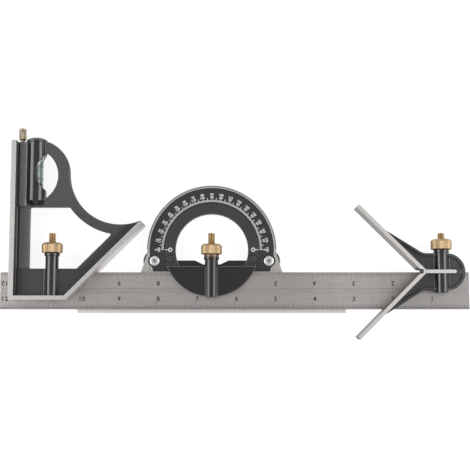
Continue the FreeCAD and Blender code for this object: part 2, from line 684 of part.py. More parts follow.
def base_outline():
    """Half disc that flares into the straight base."""
    flare = math.radians(FOOT_FLARE_DEG)
    start = on_circle(0, 0, BODY_RADIUS, -math.degrees(math.asin(FOOT_START / BODY_RADIUS)))
    drop = FOOT_LINE_END - FOOT_START
    knee = (start[0] + drop * math.tan(flare), -FOOT_LINE_END)
    top = -(BASE_BOTTOM - BASE_HEIGHT)
    radius = (knee[1] - top) / (1 - math.sin(flare))
    centre = (knee[0] + radius * math.cos(flare), knee[1] + radius * math.sin(flare))
    knee_deg = bearing(centre[0], centre[1], knee)
    if knee_deg > 0:
        knee_deg -= 360
    right_curve = arc_about(centre[0], centre[1], radius, knee_deg, -90)
    left_curve = right_curve.mirror(vec(0, 0, 0), vec(1, 0, 0))
    foot = (centre[0], top)
    half = BASE_HALF_LENGTH

    def flip(p):
        return (-p[0], p[1])

    up = bearing(0, 0, start)
    return [arc_about(0, 0, BODY_RADIUS, up, 180 - up), line(flip(start), flip(knee)), left_curve,
            line(flip(foot), (-half, top)), line((-half, top), (-half, -BASE_BOTTOM)),
            line((-half, -BASE_BOTTOM), (half, -BASE_BOTTOM)),
            line((half, -BASE_BOTTOM), (half, top)), line((half, top), foot),
            right_curve, line(knee, start)]


def dial_ring(z0, z1):
    ring = rod_z(0, 0, DIAL_RADIUS, z0, z1)
    ring = ring.cut(rod_z(0, 0, TURRET_RADIUS + SWING_GAP, z0 - PLAY, z1 + PLAY))
    return ring.common(block(-DIAL_RADIUS, -DIAL_CHORD, z0, DIAL_RADIUS, DIAL_RADIUS, z1))


def lock_head_bore(side):
    return rod_z(side * LOCK_X, -LOCK_DROP, LOCK_HEAD_RADIUS + RULE_GAP,
                 TURRET_FACE_Z - LOCK_HEAD_HEIGHT - LOCK_HEAD_SINK, TURRET_FACE_Z + PLAY)


def lock_shank(side):
    return rod_z(side * LOCK_X, -LOCK_DROP, LOCK_SHANK_RADIUS, TURRET_BACK_Z,
                 TURRET_FACE_Z - LOCK_HEAD_HEIGHT - LOCK_HEAD_SINK)


def foot_pin(side):
    return rod_z(side * FOOT_PIN_X, -FOOT_PIN_DROP, FOOT_PIN_RADIUS,
                 TURRET_FACE_Z - FOOT_PIN_LENGTH, TURRET_FACE_Z)


def protractor_body():
    body = prism(base_outline(), 0, TURRET_FACE_Z)
    dial_floor = TURRET_FACE_Z - DIAL_THICKNESS
    body = body.cut(rod_z(0, 0, TURRET_REAR_RADIUS + SWING_GAP, -PLAY, TURRET_FACE_Z + PLAY))
    groove_radius = TURRET_RADIUS + TURRET_FLANGE + SWING_GAP
    body = body.cut(rod_z(0, 0, groove_radius, FLANGE_BACK_Z - FLANGE_GAP,
                          TURRET_FACE_Z + PLAY))
    body = body.cut(dial_ring(dial_floor, TURRET_FACE_Z + PLAY))
    for side in (-1, 1):
        pocket = rod_z(side * LOCK_X, -LOCK_DROP, LOCK_NUT_RADIUS + LOCK_POCKET_GAP,
                       -PLAY, LOCK_POCKET_DEPTH)
        body = body.cut(pocket).cut(lock_head_bore(side)).cut(lock_shank(side))
        body = body.cut(foot_pin(side))
    return placed(body.removeSplitter())


def dial_plate():
    plate = dial_ring(TURRET_FACE_Z - DIAL_THICKNESS, TURRET_FACE_Z)
    for side in (-1, 1):
        plate = plate.cut(lock_head_bore(side))
    return placed(plate)


def retaining_lip():
    """Lower half of the ring that keeps the turret flange in below the dial's ends."""
    z0 = FLANGE_FRONT_Z + LIP_GAP
    ring = rod_z(0, 0, TURRET_RADIUS + TURRET_FLANGE + SWING_GAP, z0, TURRET_FACE_Z)
    ring = ring.cut(rod_z(0, 0, TURRET_RADIUS + SWING_GAP, z0 - PLAY, TURRET_FACE_Z + PLAY))
    size = BODY_RADIUS
    return placed(ring.common(block(-size, -size, z0, size, -DIAL_CHORD, TURRET_FACE_Z)))


def lock_screw(side):
    top = TURRET_FACE_Z - LOCK_HEAD_SINK
    low = top - LOCK_HEAD_HEIGHT
    rim = top - LOCK_HEAD_DOME
    head = rod_z(side * LOCK_X, -LOCK_DROP, LOCK_HEAD_RADIUS, low, rim)
    dome = Part.makeCone(LOCK_HEAD_RADIUS, LOCK_HEAD_RADIUS - LOCK_HEAD_DOME_INSET,
                         LOCK_HEAD_DOME, vec(side * LOCK_X, -LOCK_DROP, rim))
    return placed(head.fuse(dome).fuse(lock_shank(side)).removeSplitter())


def lock_nut(side):
    low = LOCK_NUT_BACK_Z
    nut = rod_z(side * LOCK_X, -LOCK_DROP, LOCK_NUT_RADIUS, low, low + LOCK_NUT_HEIGHT)
    nut = nut.makeChamfer(STUD_CHAMFER, [e for e in nut.Edges if e.Closed])
    bore = rod_z(side * LOCK_X, -LOCK_DROP, LOCK_SHANK_RADIUS + FIT, low - PLAY,
                 low + LOCK_NUT_HEIGHT + PLAY)
    return placed(nut.cut(bore))


def pair(make):
    return Part.makeCompound([make(-1), make(1)])


# centre head

def vee_arm():
    """Upper arm; the lower one is its mirror image about the ruling edge."""
    wall = ARM_THICKNESS / math.sqrt(2)
    apex = (VEE_X, LEDGE_Y)
    tip = (VEE_X - ARM_REACH, LEDGE_Y + ARM_REACH)
    return polygon([apex, (apex[0] + 2 * wall, apex[1]), (tip[0] + wall, tip[1] + wall), tip],
                   ARM_BACK_Z, ARM_FRONT_Z)


def wing_points():
    wall = ARM_THICKNESS / math.sqrt(2)
    root = (VEE_X + 2 * wall, LEDGE_Y)
    start = (root[0] - WING_START - wall * 2, LEDGE_Y + WING_START + wall * 2)
    shoulder = (SHOULDER_X, LEDGE_Y + LOBE_RADIUS)
    return root, start, shoulder


def centre_half_outline():
    """Upper half of the body: from the arm along the wing, shoulder and lobe."""
    root, start, shoulder = wing_points()
    slope = math.atan2(start[1] - shoulder[1], shoulder[0] - start[0])
    reach = SHOULDER_ROUND * math.tan(slope / 2)
    before = (shoulder[0] - reach * math.cos(slope), shoulder[1] + reach * math.sin(slope))
    after = (shoulder[0] + reach, shoulder[1])
    centre = (after[0], shoulder[1] + SHOULDER_ROUND)
    curve = arc_about(centre[0], centre[1], SHOULDER_ROUND, -90 - math.degrees(slope), -90)
    lobe_top = (LOBE_X, shoulder[1])
    lobe_end = (LOBE_X + LOBE_RADIUS, LEDGE_Y)
    lobe = arc_about(LOBE_X, LEDGE_Y, LOBE_RADIUS, 90, 0)
    return [line(root, start), line(start, before), curve, line(after, lobe_top), lobe,
            line(lobe_end, root)]


def centre_panel(z0, z1):
    """Recess inside a border, one side of the bisector rib."""
    face = Part.Face(Part.Wire(centre_half_outline()))
    inner = face.makeOffset2D(-PANEL_BORDER)
    inner.translate(vec(0, 0, z0))
    return inner.extrude(vec(0, 0, z1 - z0))


def both_sides(shape):
    return shape.fuse(mirrored(shape, LEDGE_Y))


def centre_head():
    body = both_sides(prism(centre_half_outline(), ARM_BACK_Z, CENTRE_BODY_FRONT_Z))
    front = centre_panel(CENTRE_BODY_FRONT_Z - PANEL_DEPTH, CENTRE_BODY_FRONT_Z + PLAY)
    back = centre_panel(ARM_BACK_Z - PLAY, ARM_BACK_Z + BACK_PANEL_DEPTH)
    body = body.cut(both_sides(front)).cut(both_sides(back))
    rib = block(VEE_X + ARM_THICKNESS, LEDGE_Y - BISECTOR_HALF, CENTRE_BODY_FRONT_Z - PANEL_DEPTH,
                BISECTOR_END_X - BISECTOR_HALF, LEDGE_Y + BISECTOR_HALF, ARM_FRONT_Z)
    rib_end = rod_z(BISECTOR_END_X - BISECTOR_HALF, LEDGE_Y, BISECTOR_HALF,
                    CENTRE_BODY_FRONT_Z - PANEL_DEPTH, ARM_FRONT_Z)
    head = body.fuse(both_sides(vee_arm())).fuse(rib).fuse(rib_end)
    head = head.fuse(clamp_column(CENTRE_CLAMP_X, CENTRE_COLUMN_FOOT_Y, CENTRE_COLUMN_TOP_Y))
    slot_low = -RULE_TOP_Y - RULE_GAP
    head = head.cut(rule_slot(VEE_X - ARM_REACH - PLAY, LOBE_X + LOBE_RADIUS + PLAY, slot_low))
    head = head.cut(clamp_bore(CENTRE_CLAMP_X, CENTRE_COLUMN_FOOT_Y, CENTRE_COLUMN_TOP_Y))
    head = head.cut(block(VEE_X - NOTCH_BACK, LEDGE_Y - NOTCH_HALF, ARM_BACK_Z - PLAY,
                          VEE_X + NOTCH_FRONT, LEDGE_Y + NOTCH_HALF, ARM_FRONT_Z + PLAY))
    return head.removeSplitter()


def all_nodes():
    nodes = {
        "rule": rule(),
        "square_head_body": square_head(),
        "vial_glass": vial_glass(),
        "vial_spirit": vial_spirit(),
        "vial_cap": vial_cap(),
        "scriber_needle": scriber_needle(),
        "scriber_knob": scriber_knob(),
        "scriber_sleeve": scriber_sleeve(),
        "protractor_body": protractor_body(),
        "protractor_lip": retaining_lip(),
        "dial_plate": dial_plate(),
        "turret_back": turret_back(),
        "turret_front": turret_front(),
        "turret_plugs": placed(pair(plug_insert)),
        "turret_screws": placed(pair(turret_screw)),
        "lock_screws": pair(lock_screw),
        "lock_nut_left": lock_nut(-1),
        "lock_nut_right": lock_nut(1),
        "foot_pins": placed(pair(foot_pin)),
        "centre_head_body": centre_head(),
    }
    nodes["protractor_clamp_washer"] = clamp_washer(PROTRACTOR_X, PROTRACTOR_COLUMN_TOP_Y)
    clamps = (("square", SQUARE_CLAMP_X, SQUARE_COLUMN_TOP_Y),
              ("protractor", PROTRACTOR_X, PROTRACTOR_COLUMN_TOP_Y + WASHER_HEIGHT),
              ("centre", CENTRE_CLAMP_X, CENTRE_COLUMN_TOP_Y))
    for name, x, seat_y in clamps:
        nodes[name + "_clamp_bolt"] = clamp_bolt(x)
        nodes[name + "_clamp_nut"] = clamp_nut(x, seat_y)
        nodes[name + "_clamp_spring"] = clamp_spring(x)
    return nodes


def origin_shift():
    """From the drawing's origin to the point under the middle of the set."""
    top = SQUARE_TOP_Y + KNOB_NECK + KNOB_LENGTH
    wall = ARM_THICKNESS / math.sqrt(2)
    bottom = LEDGE_Y - ARM_REACH - wall
    return vec(0, -(top + bottom) / 2, 0)


def main():
    os.makedirs("parts", exist_ok=True)
    shift = origin_shift()
    for name, shape in all_nodes().items():
        shape.translate(shift)
        shape.exportStep("parts/" + name + ".step")
        print(name, len(shape.Solids), round(shape.Volume, 1), shape.isValid())


main()
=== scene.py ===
import math

import bpy
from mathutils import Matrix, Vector


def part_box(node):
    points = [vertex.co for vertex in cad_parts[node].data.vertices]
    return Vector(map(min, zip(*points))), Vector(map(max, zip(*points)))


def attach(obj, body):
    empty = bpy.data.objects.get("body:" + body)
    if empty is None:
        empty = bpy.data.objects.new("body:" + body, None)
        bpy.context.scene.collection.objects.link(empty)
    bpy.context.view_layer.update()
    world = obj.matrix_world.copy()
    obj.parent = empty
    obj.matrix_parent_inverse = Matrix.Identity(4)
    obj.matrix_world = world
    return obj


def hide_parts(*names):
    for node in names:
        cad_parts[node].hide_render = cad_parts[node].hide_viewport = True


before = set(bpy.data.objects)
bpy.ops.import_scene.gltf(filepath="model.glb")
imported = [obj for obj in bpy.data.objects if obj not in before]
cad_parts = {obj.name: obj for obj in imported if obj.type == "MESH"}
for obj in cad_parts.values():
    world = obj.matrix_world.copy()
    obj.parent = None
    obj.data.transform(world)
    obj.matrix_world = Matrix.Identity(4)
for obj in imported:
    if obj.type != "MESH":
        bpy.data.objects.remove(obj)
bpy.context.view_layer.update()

# A combination square set lying on its back: grooved rule, square head, protractor head
# and centre head. Sizes below are millimetres, in the frame's own axes.
MM = 0.001


def box_mm(node):
    low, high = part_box(node)
    return low / MM, high / MM


def middle(node):
    low, high = box_mm(node)
    return (low + high) / 2


RULE_LOW, RULE_HIGH = box_mm("rule")
RULE_Y = (RULE_LOW.y + RULE_HIGH.y) / 2
SQUARE_LOW, SQUARE_HIGH = box_mm("square_head_body")
CENTRE_LOW, CENTRE_HIGH = box_mm("centre_head_body")
DIAL_LOW, DIAL_HIGH = box_mm("dial_plate")
DIAL_RADIUS = (DIAL_HIGH.x - DIAL_LOW.x) / 2
DIAL_X = (DIAL_HIGH.x + DIAL_LOW.x) / 2
DIAL_Y = DIAL_HIGH.y - DIAL_RADIUS
DIAL_Z = DIAL_HIGH.z

# Turret, from the dial's centre: front segment, bridge behind the rule and round plugs.
SEGMENT_RADIUS = 31.0
CHORD_RISE = -11.3
BRIDGE_RISE = -7.0
BRIDGE_HALF = 22.4
TURRET_FACE_Z = 6.8
PLUG_OUT = 27.0
PLUG_DROP = 6.0
PLUG_RADIUS = 2.6

# Clamp columns of the three heads and the painted highlight bands along their feet.
COLUMN_RADIUS = 4.3
COLLAR_RADIUS = 5.0
COLLAR_HEIGHT = 1.8
FOOT_HIGHLIGHT_IN = 2.95
FOOT_HIGHLIGHT_OUT = 3.95

# Square head: in from its left edge, or up from the rule's middle.
SQUARE_RIM = 3.2
SQUARE_FOOT_RIM = 2.8
WALL_IN = 3.4
STRIP_IN = 4.4
RIB_HIGHLIGHT_IN = 8.5
RIB_OUT = 9.3
STEM_OUT = 11.3
MITRE_FOOT_IN = 43.0
MITRE_TIP_UP = 43.1
MITRE_CORNER = SQUARE_LOW.x + MITRE_FOOT_IN - RULE_Y
MITRE_TIP = SQUARE_LOW.x + MITRE_FOOT_IN + 2 * MITRE_TIP_UP + RULE_Y
BLOCK_TOP_Y = RULE_Y + 14.2

# Centre head: its arms' reach, and how far its middle line lies above the rule's.
ARM_REACH = 41.8
LEDGE = 12.1

# Lock screws, their seats in the protractor body and the painted shadow round them.
LOCK_OUT = 37.5
LOCK_DROP = 7.3
LOCK_SHADOW_RADIUS = 4.25

# Clear round of the spirit vial, from the square head's top left corner.
VIEW_IN = 27.7
VIEW_DOWN = 20.1
VIEW_RADIUS = 11.9

GROOVE_HALF = 1.6
INCH = 25.4

# camera and light

CAMERA_PLACE = (0.00026, -0.06262, 0.6128)
CAMERA_TILT = 5.8
CAMERA_LENS = 71.08
SOFTBOX_DISTANCE = 1.25
SOFTBOX_ANGLE = 52
SOFTBOX_SIZE = (0.78, 1.3)
SOFTBOX_POWER = 8.8
WORLD_LEVEL = 0.42


def make_camera():
    data = bpy.data.cameras.new("camera")
    data.lens = CAMERA_LENS
    data.sensor_width = 36
    camera = bpy.data.objects.new("camera", data)
    camera.location = CAMERA_PLACE
    camera.rotation_euler = (math.radians(CAMERA_TILT), 0, 0)
    bpy.context.scene.collection.objects.link(camera)
    bpy.context.scene.camera = camera


def make_softbox(name, side):
    data = bpy.data.lights.new(name, "AREA")
    data.shape = "RECTANGLE"
    data.size, data.size_y = SOFTBOX_SIZE
    data.energy = SOFTBOX_POWER
    lamp = bpy.data.objects.new(name, data)
    angle = math.radians(SOFTBOX_ANGLE) * side
    lamp.location = (SOFTBOX_DISTANCE * math.sin(angle), 0, SOFTBOX_DISTANCE * math.cos(angle))
    lamp.rotation_euler = (0, angle, 0)
    bpy.context.scene.collection.objects.link(lamp)


def make_world():
    world = bpy.data.worlds.new("studio")
    bpy.context.scene.world = world
    world.use_nodes = True
    background = world.node_tree.nodes["Background"]
    background.inputs["Color"].default_value = (1.0, 1.0, 1.0, 1)
    background.inputs["Strength"].default_value = WORLD_LEVEL


# materials

class Shader:
    """One Principled material on object coordinates in millimetres."""

    def __init__(self, name, **fixed):
        self.material = bpy.data.materials.new(name)
        self.material.use_nodes = True
        self.tree = self.material.node_tree
        self.surface = self.tree.nodes["Principled BSDF"]
        for socket, value in fixed.items():
            self.surface.inputs[socket.replace("_", " ")].default_value = value
        coordinates = self.add("ShaderNodeTexCoord")
        scale = self.add("ShaderNodeVectorMath", operation="SCALE")
        scale.inputs["Scale"].default_value = 1 / MM
        self.tree.links.new(coordinates.outputs["Object"], scale.inputs[0])
        self.place = scale.outputs[0]
        parts = self.add("ShaderNodeSeparateXYZ")
        self.tree.links.new(self.place, parts.inputs[0])
        self.x, self.y, self.z = parts.outputs
        facing = self.add("ShaderNodeSeparateXYZ")
        self.tree.links.new(coordinates.outputs["Normal"], facing.inputs[0])
        self.facing_z = self.math("ABSOLUTE", facing.outputs[2])

    def add(self, kind, **settings):
        made = self.tree.nodes.new(kind)
        for key, value in settings.items():
            setattr(made, key, value)
        return made

    def feed(self, socket, value):
        if isinstance(value, bpy.types.NodeSocket):
            self.tree.links.new(value, socket)
        elif isinstance(value, tuple):
            socket.default_value = (*value, 1.0)
        else:
            socket.default_value = value

    def math(self, operation, a, b=0.0, clamp=False):
        made = self.add("ShaderNodeMath", operation=operation, use_clamp=clamp)
        self.feed(made.inputs[0], a)
        self.feed(made.inputs[1], b)
        return made.outputs[0]

    def above(self, value, limit, soft):
        """0 below the limit and 1 above it, changing over a width of soft."""
        return self.math("DIVIDE", self.math("SUBTRACT", value, limit), soft, clamp=True)

    def below(self, value, limit, soft):
        return self.above(self.math("SUBTRACT", limit, value), 0, soft)

    def within(self, value, low, high, soft):
        """1 between two limits and 0 outside them."""
        return self.both(self.above(value, low, soft), self.below(value, high, soft))

    def off(self, value, middle):
        """Distance of a value from a middle, either way."""
        return self.math("ABSOLUTE", self.math("SUBTRACT", value, middle))

    def away(self, a, b, a0, b0):
        """Distance from the point (a0, b0) in the plane of a and b."""
        da = self.math("SUBTRACT", a, a0)
        db = self.math("SUBTRACT", b, b0)
        return self.math("SQRT", self.math("ADD", self.both(da, da), self.both(db, db)))

    def both(self, *values):
        result = values[0]
        for value in values[1:]:
            result = self.math("MULTIPLY", result, value)
        return result

    def either(self, *values):
        result = values[0]
        for value in values[1:]:
            result = self.math("MAXIMUM", result, value)
        return result

    def noise(self, scale, detail=3.0, stretch=(1, 1, 1), roughness=0.55):
        mapping = self.add("ShaderNodeMapping")
        mapping.inputs["Scale"].default_value = stretch
        self.tree.links.new(self.place, mapping.inputs["Vector"])
        made = self.add("ShaderNodeTexNoise")
        made.inputs["Scale"].default_value = scale
        made.inputs["Detail"].default_value = detail
        made.inputs["Roughness"].default_value = roughness
        self.tree.links.new(mapping.outputs[0], made.inputs["Vector"])
        return made.outputs["Fac"]

    def contrast(self, value, low, high):
        """Stretches noise so that low becomes 0 and high becomes 1."""
        return self.above(value, low, high - low)

    def between(self, factor, a, b):
        made = self.add("ShaderNodeMix", data_type="FLOAT")
        self.feed(made.inputs[0], factor)
        self.feed(made.inputs[2], a)
        self.feed(made.inputs[3], b)
        return made.outputs[0]

    def colour(self, factor, a, b):
        made = self.add("ShaderNodeMix", data_type="RGBA")
        self.feed(made.inputs[0], factor)
        self.feed(made.inputs[6], a)
        self.feed(made.inputs[7], b)
        return made.outputs[2]

    def stained(self, base, mask, share, tint):
        """The base colour with a share of a tint over it where mask is 1."""
        return self.colour(self.math("MULTIPLY", mask, share), base, tint)

    def scaled(self, colour, factor):
        made = self.add("ShaderNodeVectorMath", operation="SCALE")
        self.feed(made.inputs[0], colour)
        self.feed(made.inputs["Scale"], factor)
        return made.outputs[0]

    def rounded(self, radius_mm):
        """A normal that softens edges as a small worn round would."""
        made = self.add("ShaderNodeBevel", samples=6)
        made.inputs["Radius"].default_value = radius_mm * MM
        return made.outputs[0]

    def bump(self, height, depth_mm, strength=1.0, normal=None):
        made = self.add("ShaderNodeBump")
        made.inputs["Strength"].default_value = strength
        made.inputs["Distance"].default_value = depth_mm * MM
        self.feed(made.inputs["Height"], height)
        if normal is not None:
            self.feed(made.inputs["Normal"], normal)
        return made.outputs[0]

    def set(self, **values):
        for socket, value in values.items():
            self.feed(self.surface.inputs[socket.replace("_", " ")], value)
        return self.material


def ground_steel(shader, stretch, tint=(0.60, 0.585, 0.565), dark=0.80):
    """Colour, roughness and bump height of ground or brushed steel."""
    grain = shader.noise(1.0, 4.0, stretch, 0.7)
    cloud = shader.noise(0.06, 3.0)
    bright = tuple(min(1.0, c * 1.12) for c in tint)
    deep = tuple(c * dark for c in tint)
    base = shader.colour(shader.contrast(grain, 0.30, 0.70), deep, bright)
    warm = tuple(a * b for a, b in zip(tint, (1.04, 0.98, 0.96)))
    base = shader.stained(base, shader.contrast(cloud, 0.35, 0.7), 0.35, warm)
    rough = shader.between(shader.contrast(grain, 0.25, 0.75), 0.30, 0.44)
    return base, rough, grain


def rule_material():
    shader = Shader("rule_brushed_steel", Metallic=1.0)
    base, rough, grain = ground_steel(shader, (0.05, 7.0, 7.0), (0.655, 0.625, 0.612), 0.74)
    stain = shader.contrast(shader.noise(0.045, 4.0), 0.45, 0.75)
    base = shader.stained(base, stain, 0.45, (0.60, 0.52, 0.515))
    fleck = shader.contrast(shader.noise(1.1, 3.0, (0.5, 1.0, 1.0)), 0.42, 0.72)
    base = shader.stained(base, fleck, 0.22, (0.40, 0.37, 0.36))
    # Painted shade: the floor of the groove darkened.
    groove_shade = shader.both(shader.below(shader.off(shader.y, RULE_Y), GROOVE_HALF, 0.1),
                            shader.below(shader.z, RULE_HIGH.z - 0.5, 0.2))
    base = shader.stained(base, groove_shade, 0.12, (0.40, 0.38, 0.37))
    # Darker towards the right end, with a ragged edge, and lighter between 38 and 100 mm along the
    # rule.
    worn = shader.above(shader.math("ADD", shader.x, shader.math("MULTIPLY", fleck, 8)), 92, 26)
    base = shader.stained(base, worn, 0.46, (0.41, 0.395, 0.38))
    lighter_span = shader.within(shader.x, 38, 100, 30)
    base = shader.scaled(base, shader.between(lighter_span, 0.98, 1.12))
    return shader.set(Base_Color=base, Roughness=rough, Normal=shader.bump(grain, 0.02, 0.5))


def bare_steel_material(name, stretch, tint, roughness_lift=0.05):
    shader = Shader(name, Metallic=1.0)
    base, rough, grain = ground_steel(shader, stretch, tint)
    lifted = shader.math("ADD", rough, roughness_lift)
    return shader.set(Base_Color=base, Roughness=lifted, Normal=shader.bump(grain, 0.03, 0.5))


def enamel(shader, warmth=0.4):
    """Colour, roughness and bump height of black stove enamel over cast iron."""
    peel = shader.noise(0.9, 3.0)
    speck = shader.noise(2.6, 3.0)
    cloud = shader.noise(0.05, 2.0)
    base = shader.colour(shader.contrast(speck, 0.38, 0.66), (0.022, 0.022, 0.024),
                         (0.058, 0.057, 0.060))
    base = shader.stained(base, shader.contrast(cloud, 0.4, 0.7), warmth, (0.054, 0.046, 0.041))
    rough = shader.between(shader.contrast(peel, 0.3, 0.7), 0.24, 0.36)
    height = shader.math("ADD", peel, shader.math("MULTIPLY", speck, 0.35))
    return base, rough, height


class Column:
    """A clamp column of a head: its axis, its collar and where it meets the flat face."""

    def __init__(self, head, low_y, gap=0.1):
        nut_low, nut_high = box_mm(head + "_clamp_nut")
        self.x = (nut_low.x + nut_high.x) / 2
        self.z = (nut_low.z + nut_high.z) / 2
        self.low_y = low_y
        self.high_y = nut_low.y - gap

    def mask(self, shader):
        shaft = round_mask(shader, self.x, self.z, COLUMN_RADIUS, self.low_y, self.high_y)
        collar = round_mask(shader, self.x, self.z, COLLAR_RADIUS, self.high_y - COLLAR_HEIGHT,
                            self.high_y)
        return shader.either(shaft, collar)


def round_mask(shader, x, z, radius, low_y, high_y):
    """1 on a round boss along Y, 0 beside it."""
    near = shader.below(shader.away(shader.x, shader.z, x, z), radius + 0.07, 0.04)
    return shader.both(near, shader.within(shader.y, low_y - 0.05, high_y + 0.05, 0.02))


def foot_line(shader, column, low_y, high_y, both_sides=True):
    """1 along the feet of a half sunk column, where its flank meets the flat face: there the enamel
    gets a painted highlight band.
    """
    out = shader.math("SUBTRACT", shader.x, column.x)
    if both_sides:
        out = shader.math("ABSOLUTE", out)
    line = shader.within(out, FOOT_HIGHLIGHT_IN, FOOT_HIGHLIGHT_OUT, 0.15)
    length = shader.within(shader.y, low_y, high_y, 0.3)
    return shader.both(line, length, shader.above(shader.z, column.z, 0.3))


def fillet_rise(shader, x, radius, width, low_y, high_y):
    """Height of the cast fillet on the flat face beside a round boss, 0 to 1."""
    away = shader.off(shader.x, x)
    rise = shader.both(shader.below(away, radius + width, width),
                       shader.above(away, radius, 0.02))
    flat = shader.above(shader.facing_z, 0.9, 0.05)
    return shader.both(rise, rise, flat, shader.within(shader.y, low_y, high_y, 0.5))


SQUARE_COLUMN = Column("square", RULE_Y - 3.4)
TURRET_COLUMN = Column("protractor", RULE_Y - 4.2, 1.6)
CENTRE_COLUMN = Column("centre", RULE_Y - 1.3)
VIAL_BOSS_RADIUS = 6.3
VIAL_BOSS_FOOT_Y = box_mm("vial_glass")[0].y - 2.7
VIEW_CENTRE = (SQUARE_LOW.x + VIEW_IN, SQUARE_HIGH.y - VIEW_DOWN)


def square_round(shader):
    """Smooth cast rounds of the square head, the fillets beside them and the painted highlight
    lines at their feet.
    """
    vial = middle("vial_glass")
    boss = round_mask(shader, vial.x, vial.z, VIAL_BOSS_RADIUS, VIAL_BOSS_FOOT_Y, SQUARE_HIGH.y)
    mask = shader.either(SQUARE_COLUMN.mask(shader), boss)
    rim_y = SQUARE_LOW.y + SQUARE_FOOT_RIM
    column_foot = fillet_rise(shader, SQUARE_COLUMN.x, COLUMN_RADIUS, 0.9, rim_y, BLOCK_TOP_Y)
    column_foot = shader.both(column_foot, shader.below(shader.x, SQUARE_COLUMN.x, 0.1))
    boss_foot = fillet_rise(shader, vial.x, 5.88, 1.0, VIAL_BOSS_FOOT_Y + 3.0, SQUARE_HIGH.y)
    line = foot_line(shader, SQUARE_COLUMN, rim_y, BLOCK_TOP_Y, False)
    return mask, shader.either(column_foot, boss_foot), line


def centre_round(shader):
    foot = fillet_rise(shader, CENTRE_COLUMN.x, COLUMN_RADIUS + 0.3, 0.85, CENTRE_LOW.y,
                       CENTRE_HIGH.y)
    foot = shader.both(foot, shader.below(shader.z, 15.5, 0.2))
    return CENTRE_COLUMN.mask(shader), foot, 0.0


def turret_round(shader):
    line = foot_line(shader, TURRET_COLUMN, DIAL_Y - 40, DIAL_Y + CHORD_RISE - 0.6)
    return TURRET_COLUMN.mask(shader), 0.0, line


# Multipliers of the square head's enamel colour, each one a painted light or a painted shade.
SQUARE_LIGHT_AND_SHADE = {"block_left": 0.80, "block_right": 0.15, "arch_low": 1.25, "arch_high": 1.60,
                "arm": 0.45, "stem": 2.65, "rib": 3.3, "rib_highlight": 8.0, "gutter_shade": 0.5,
                "wall_foot_highlight": 4.6}


def square_tone(shader):
    """Painted light and shade on the cast enamel: dark block, paler arch, lighter stem and scriber
    rib, a painted highlight line on the rib, painted shade in the gutter and a painted highlight
    along the rim wall's foot.
    """
    tones = SQUARE_LIGHT_AND_SHADE
    out = shader.math("SUBTRACT", shader.x, SQUARE_LOW.x)
    slant = shader.math("SUBTRACT", shader.x, shader.y)
    block = shader.between(shader.above(out, 28, 36), tones["block_left"], tones["block_right"])
    upper = shader.between(shader.above(shader.y, RULE_Y + 45, 30), tones["arch_low"],
                           tones["arch_high"])
    upper = shader.between(shader.above(slant, MITRE_CORNER - 14.0, 4.0), upper, tones["arm"])
    on_rib = shader.above(shader.y, VIAL_BOSS_FOOT_Y, 0.2)
    rib = shader.between(shader.above(out, RIB_HIGHLIGHT_IN, 0.2), tones["rib"], tones["rib_highlight"])
    strip = shader.within(out, STRIP_IN, shader.between(on_rib, STEM_OUT, RIB_OUT), 0.1)
    upper = shader.between(strip, upper, shader.between(on_rib, tones["stem"], rib))
    gutter_shade = shader.within(out, WALL_IN, shader.between(on_rib, 5.0, STRIP_IN), 0.1)
    upper = shader.between(gutter_shade, upper, tones["gutter_shade"])
    tone = shader.between(shader.above(shader.y, BLOCK_TOP_Y, 0.3), block, upper)
    wall_foot_highlight = shader.both(shader.below(out, WALL_IN, 0.1), shader.below(shader.z, 14.2, 0.5))
    return shader.between(wall_foot_highlight, tone, tones["wall_foot_highlight"])


def centre_tone(shader):
    # Painted light and shade: the enamel darker left of the column and lighter right of it.
    return shader.between(shader.above(shader.x, CENTRE_COLUMN.x + 3, 6.0), 0.60, 1.25)


def turret_tone(shader):
    """Nearly black front segment and bridge, in a warmer dark grey ring."""
    across = shader.off(shader.x, DIAL_X)
    bridge = shader.both(shader.below(shader.y, DIAL_Y + BRIDGE_RISE, 0.05),
                         shader.below(across, BRIDGE_HALF, 0.1))
    dark = shader.either(shader.above(shader.z, TURRET_FACE_Z, 0.1), bridge)
    plug = shader.away(across, shader.y, PLUG_OUT, DIAL_Y - PLUG_DROP)
    seam = shader.within(plug, PLUG_RADIUS - 0.05, PLUG_RADIUS + 0.5, 0.1)
    return shader.between(shader.either(dark, shader.math("MULTIPLY", seam, 0.9)), 0.74, 0.10)


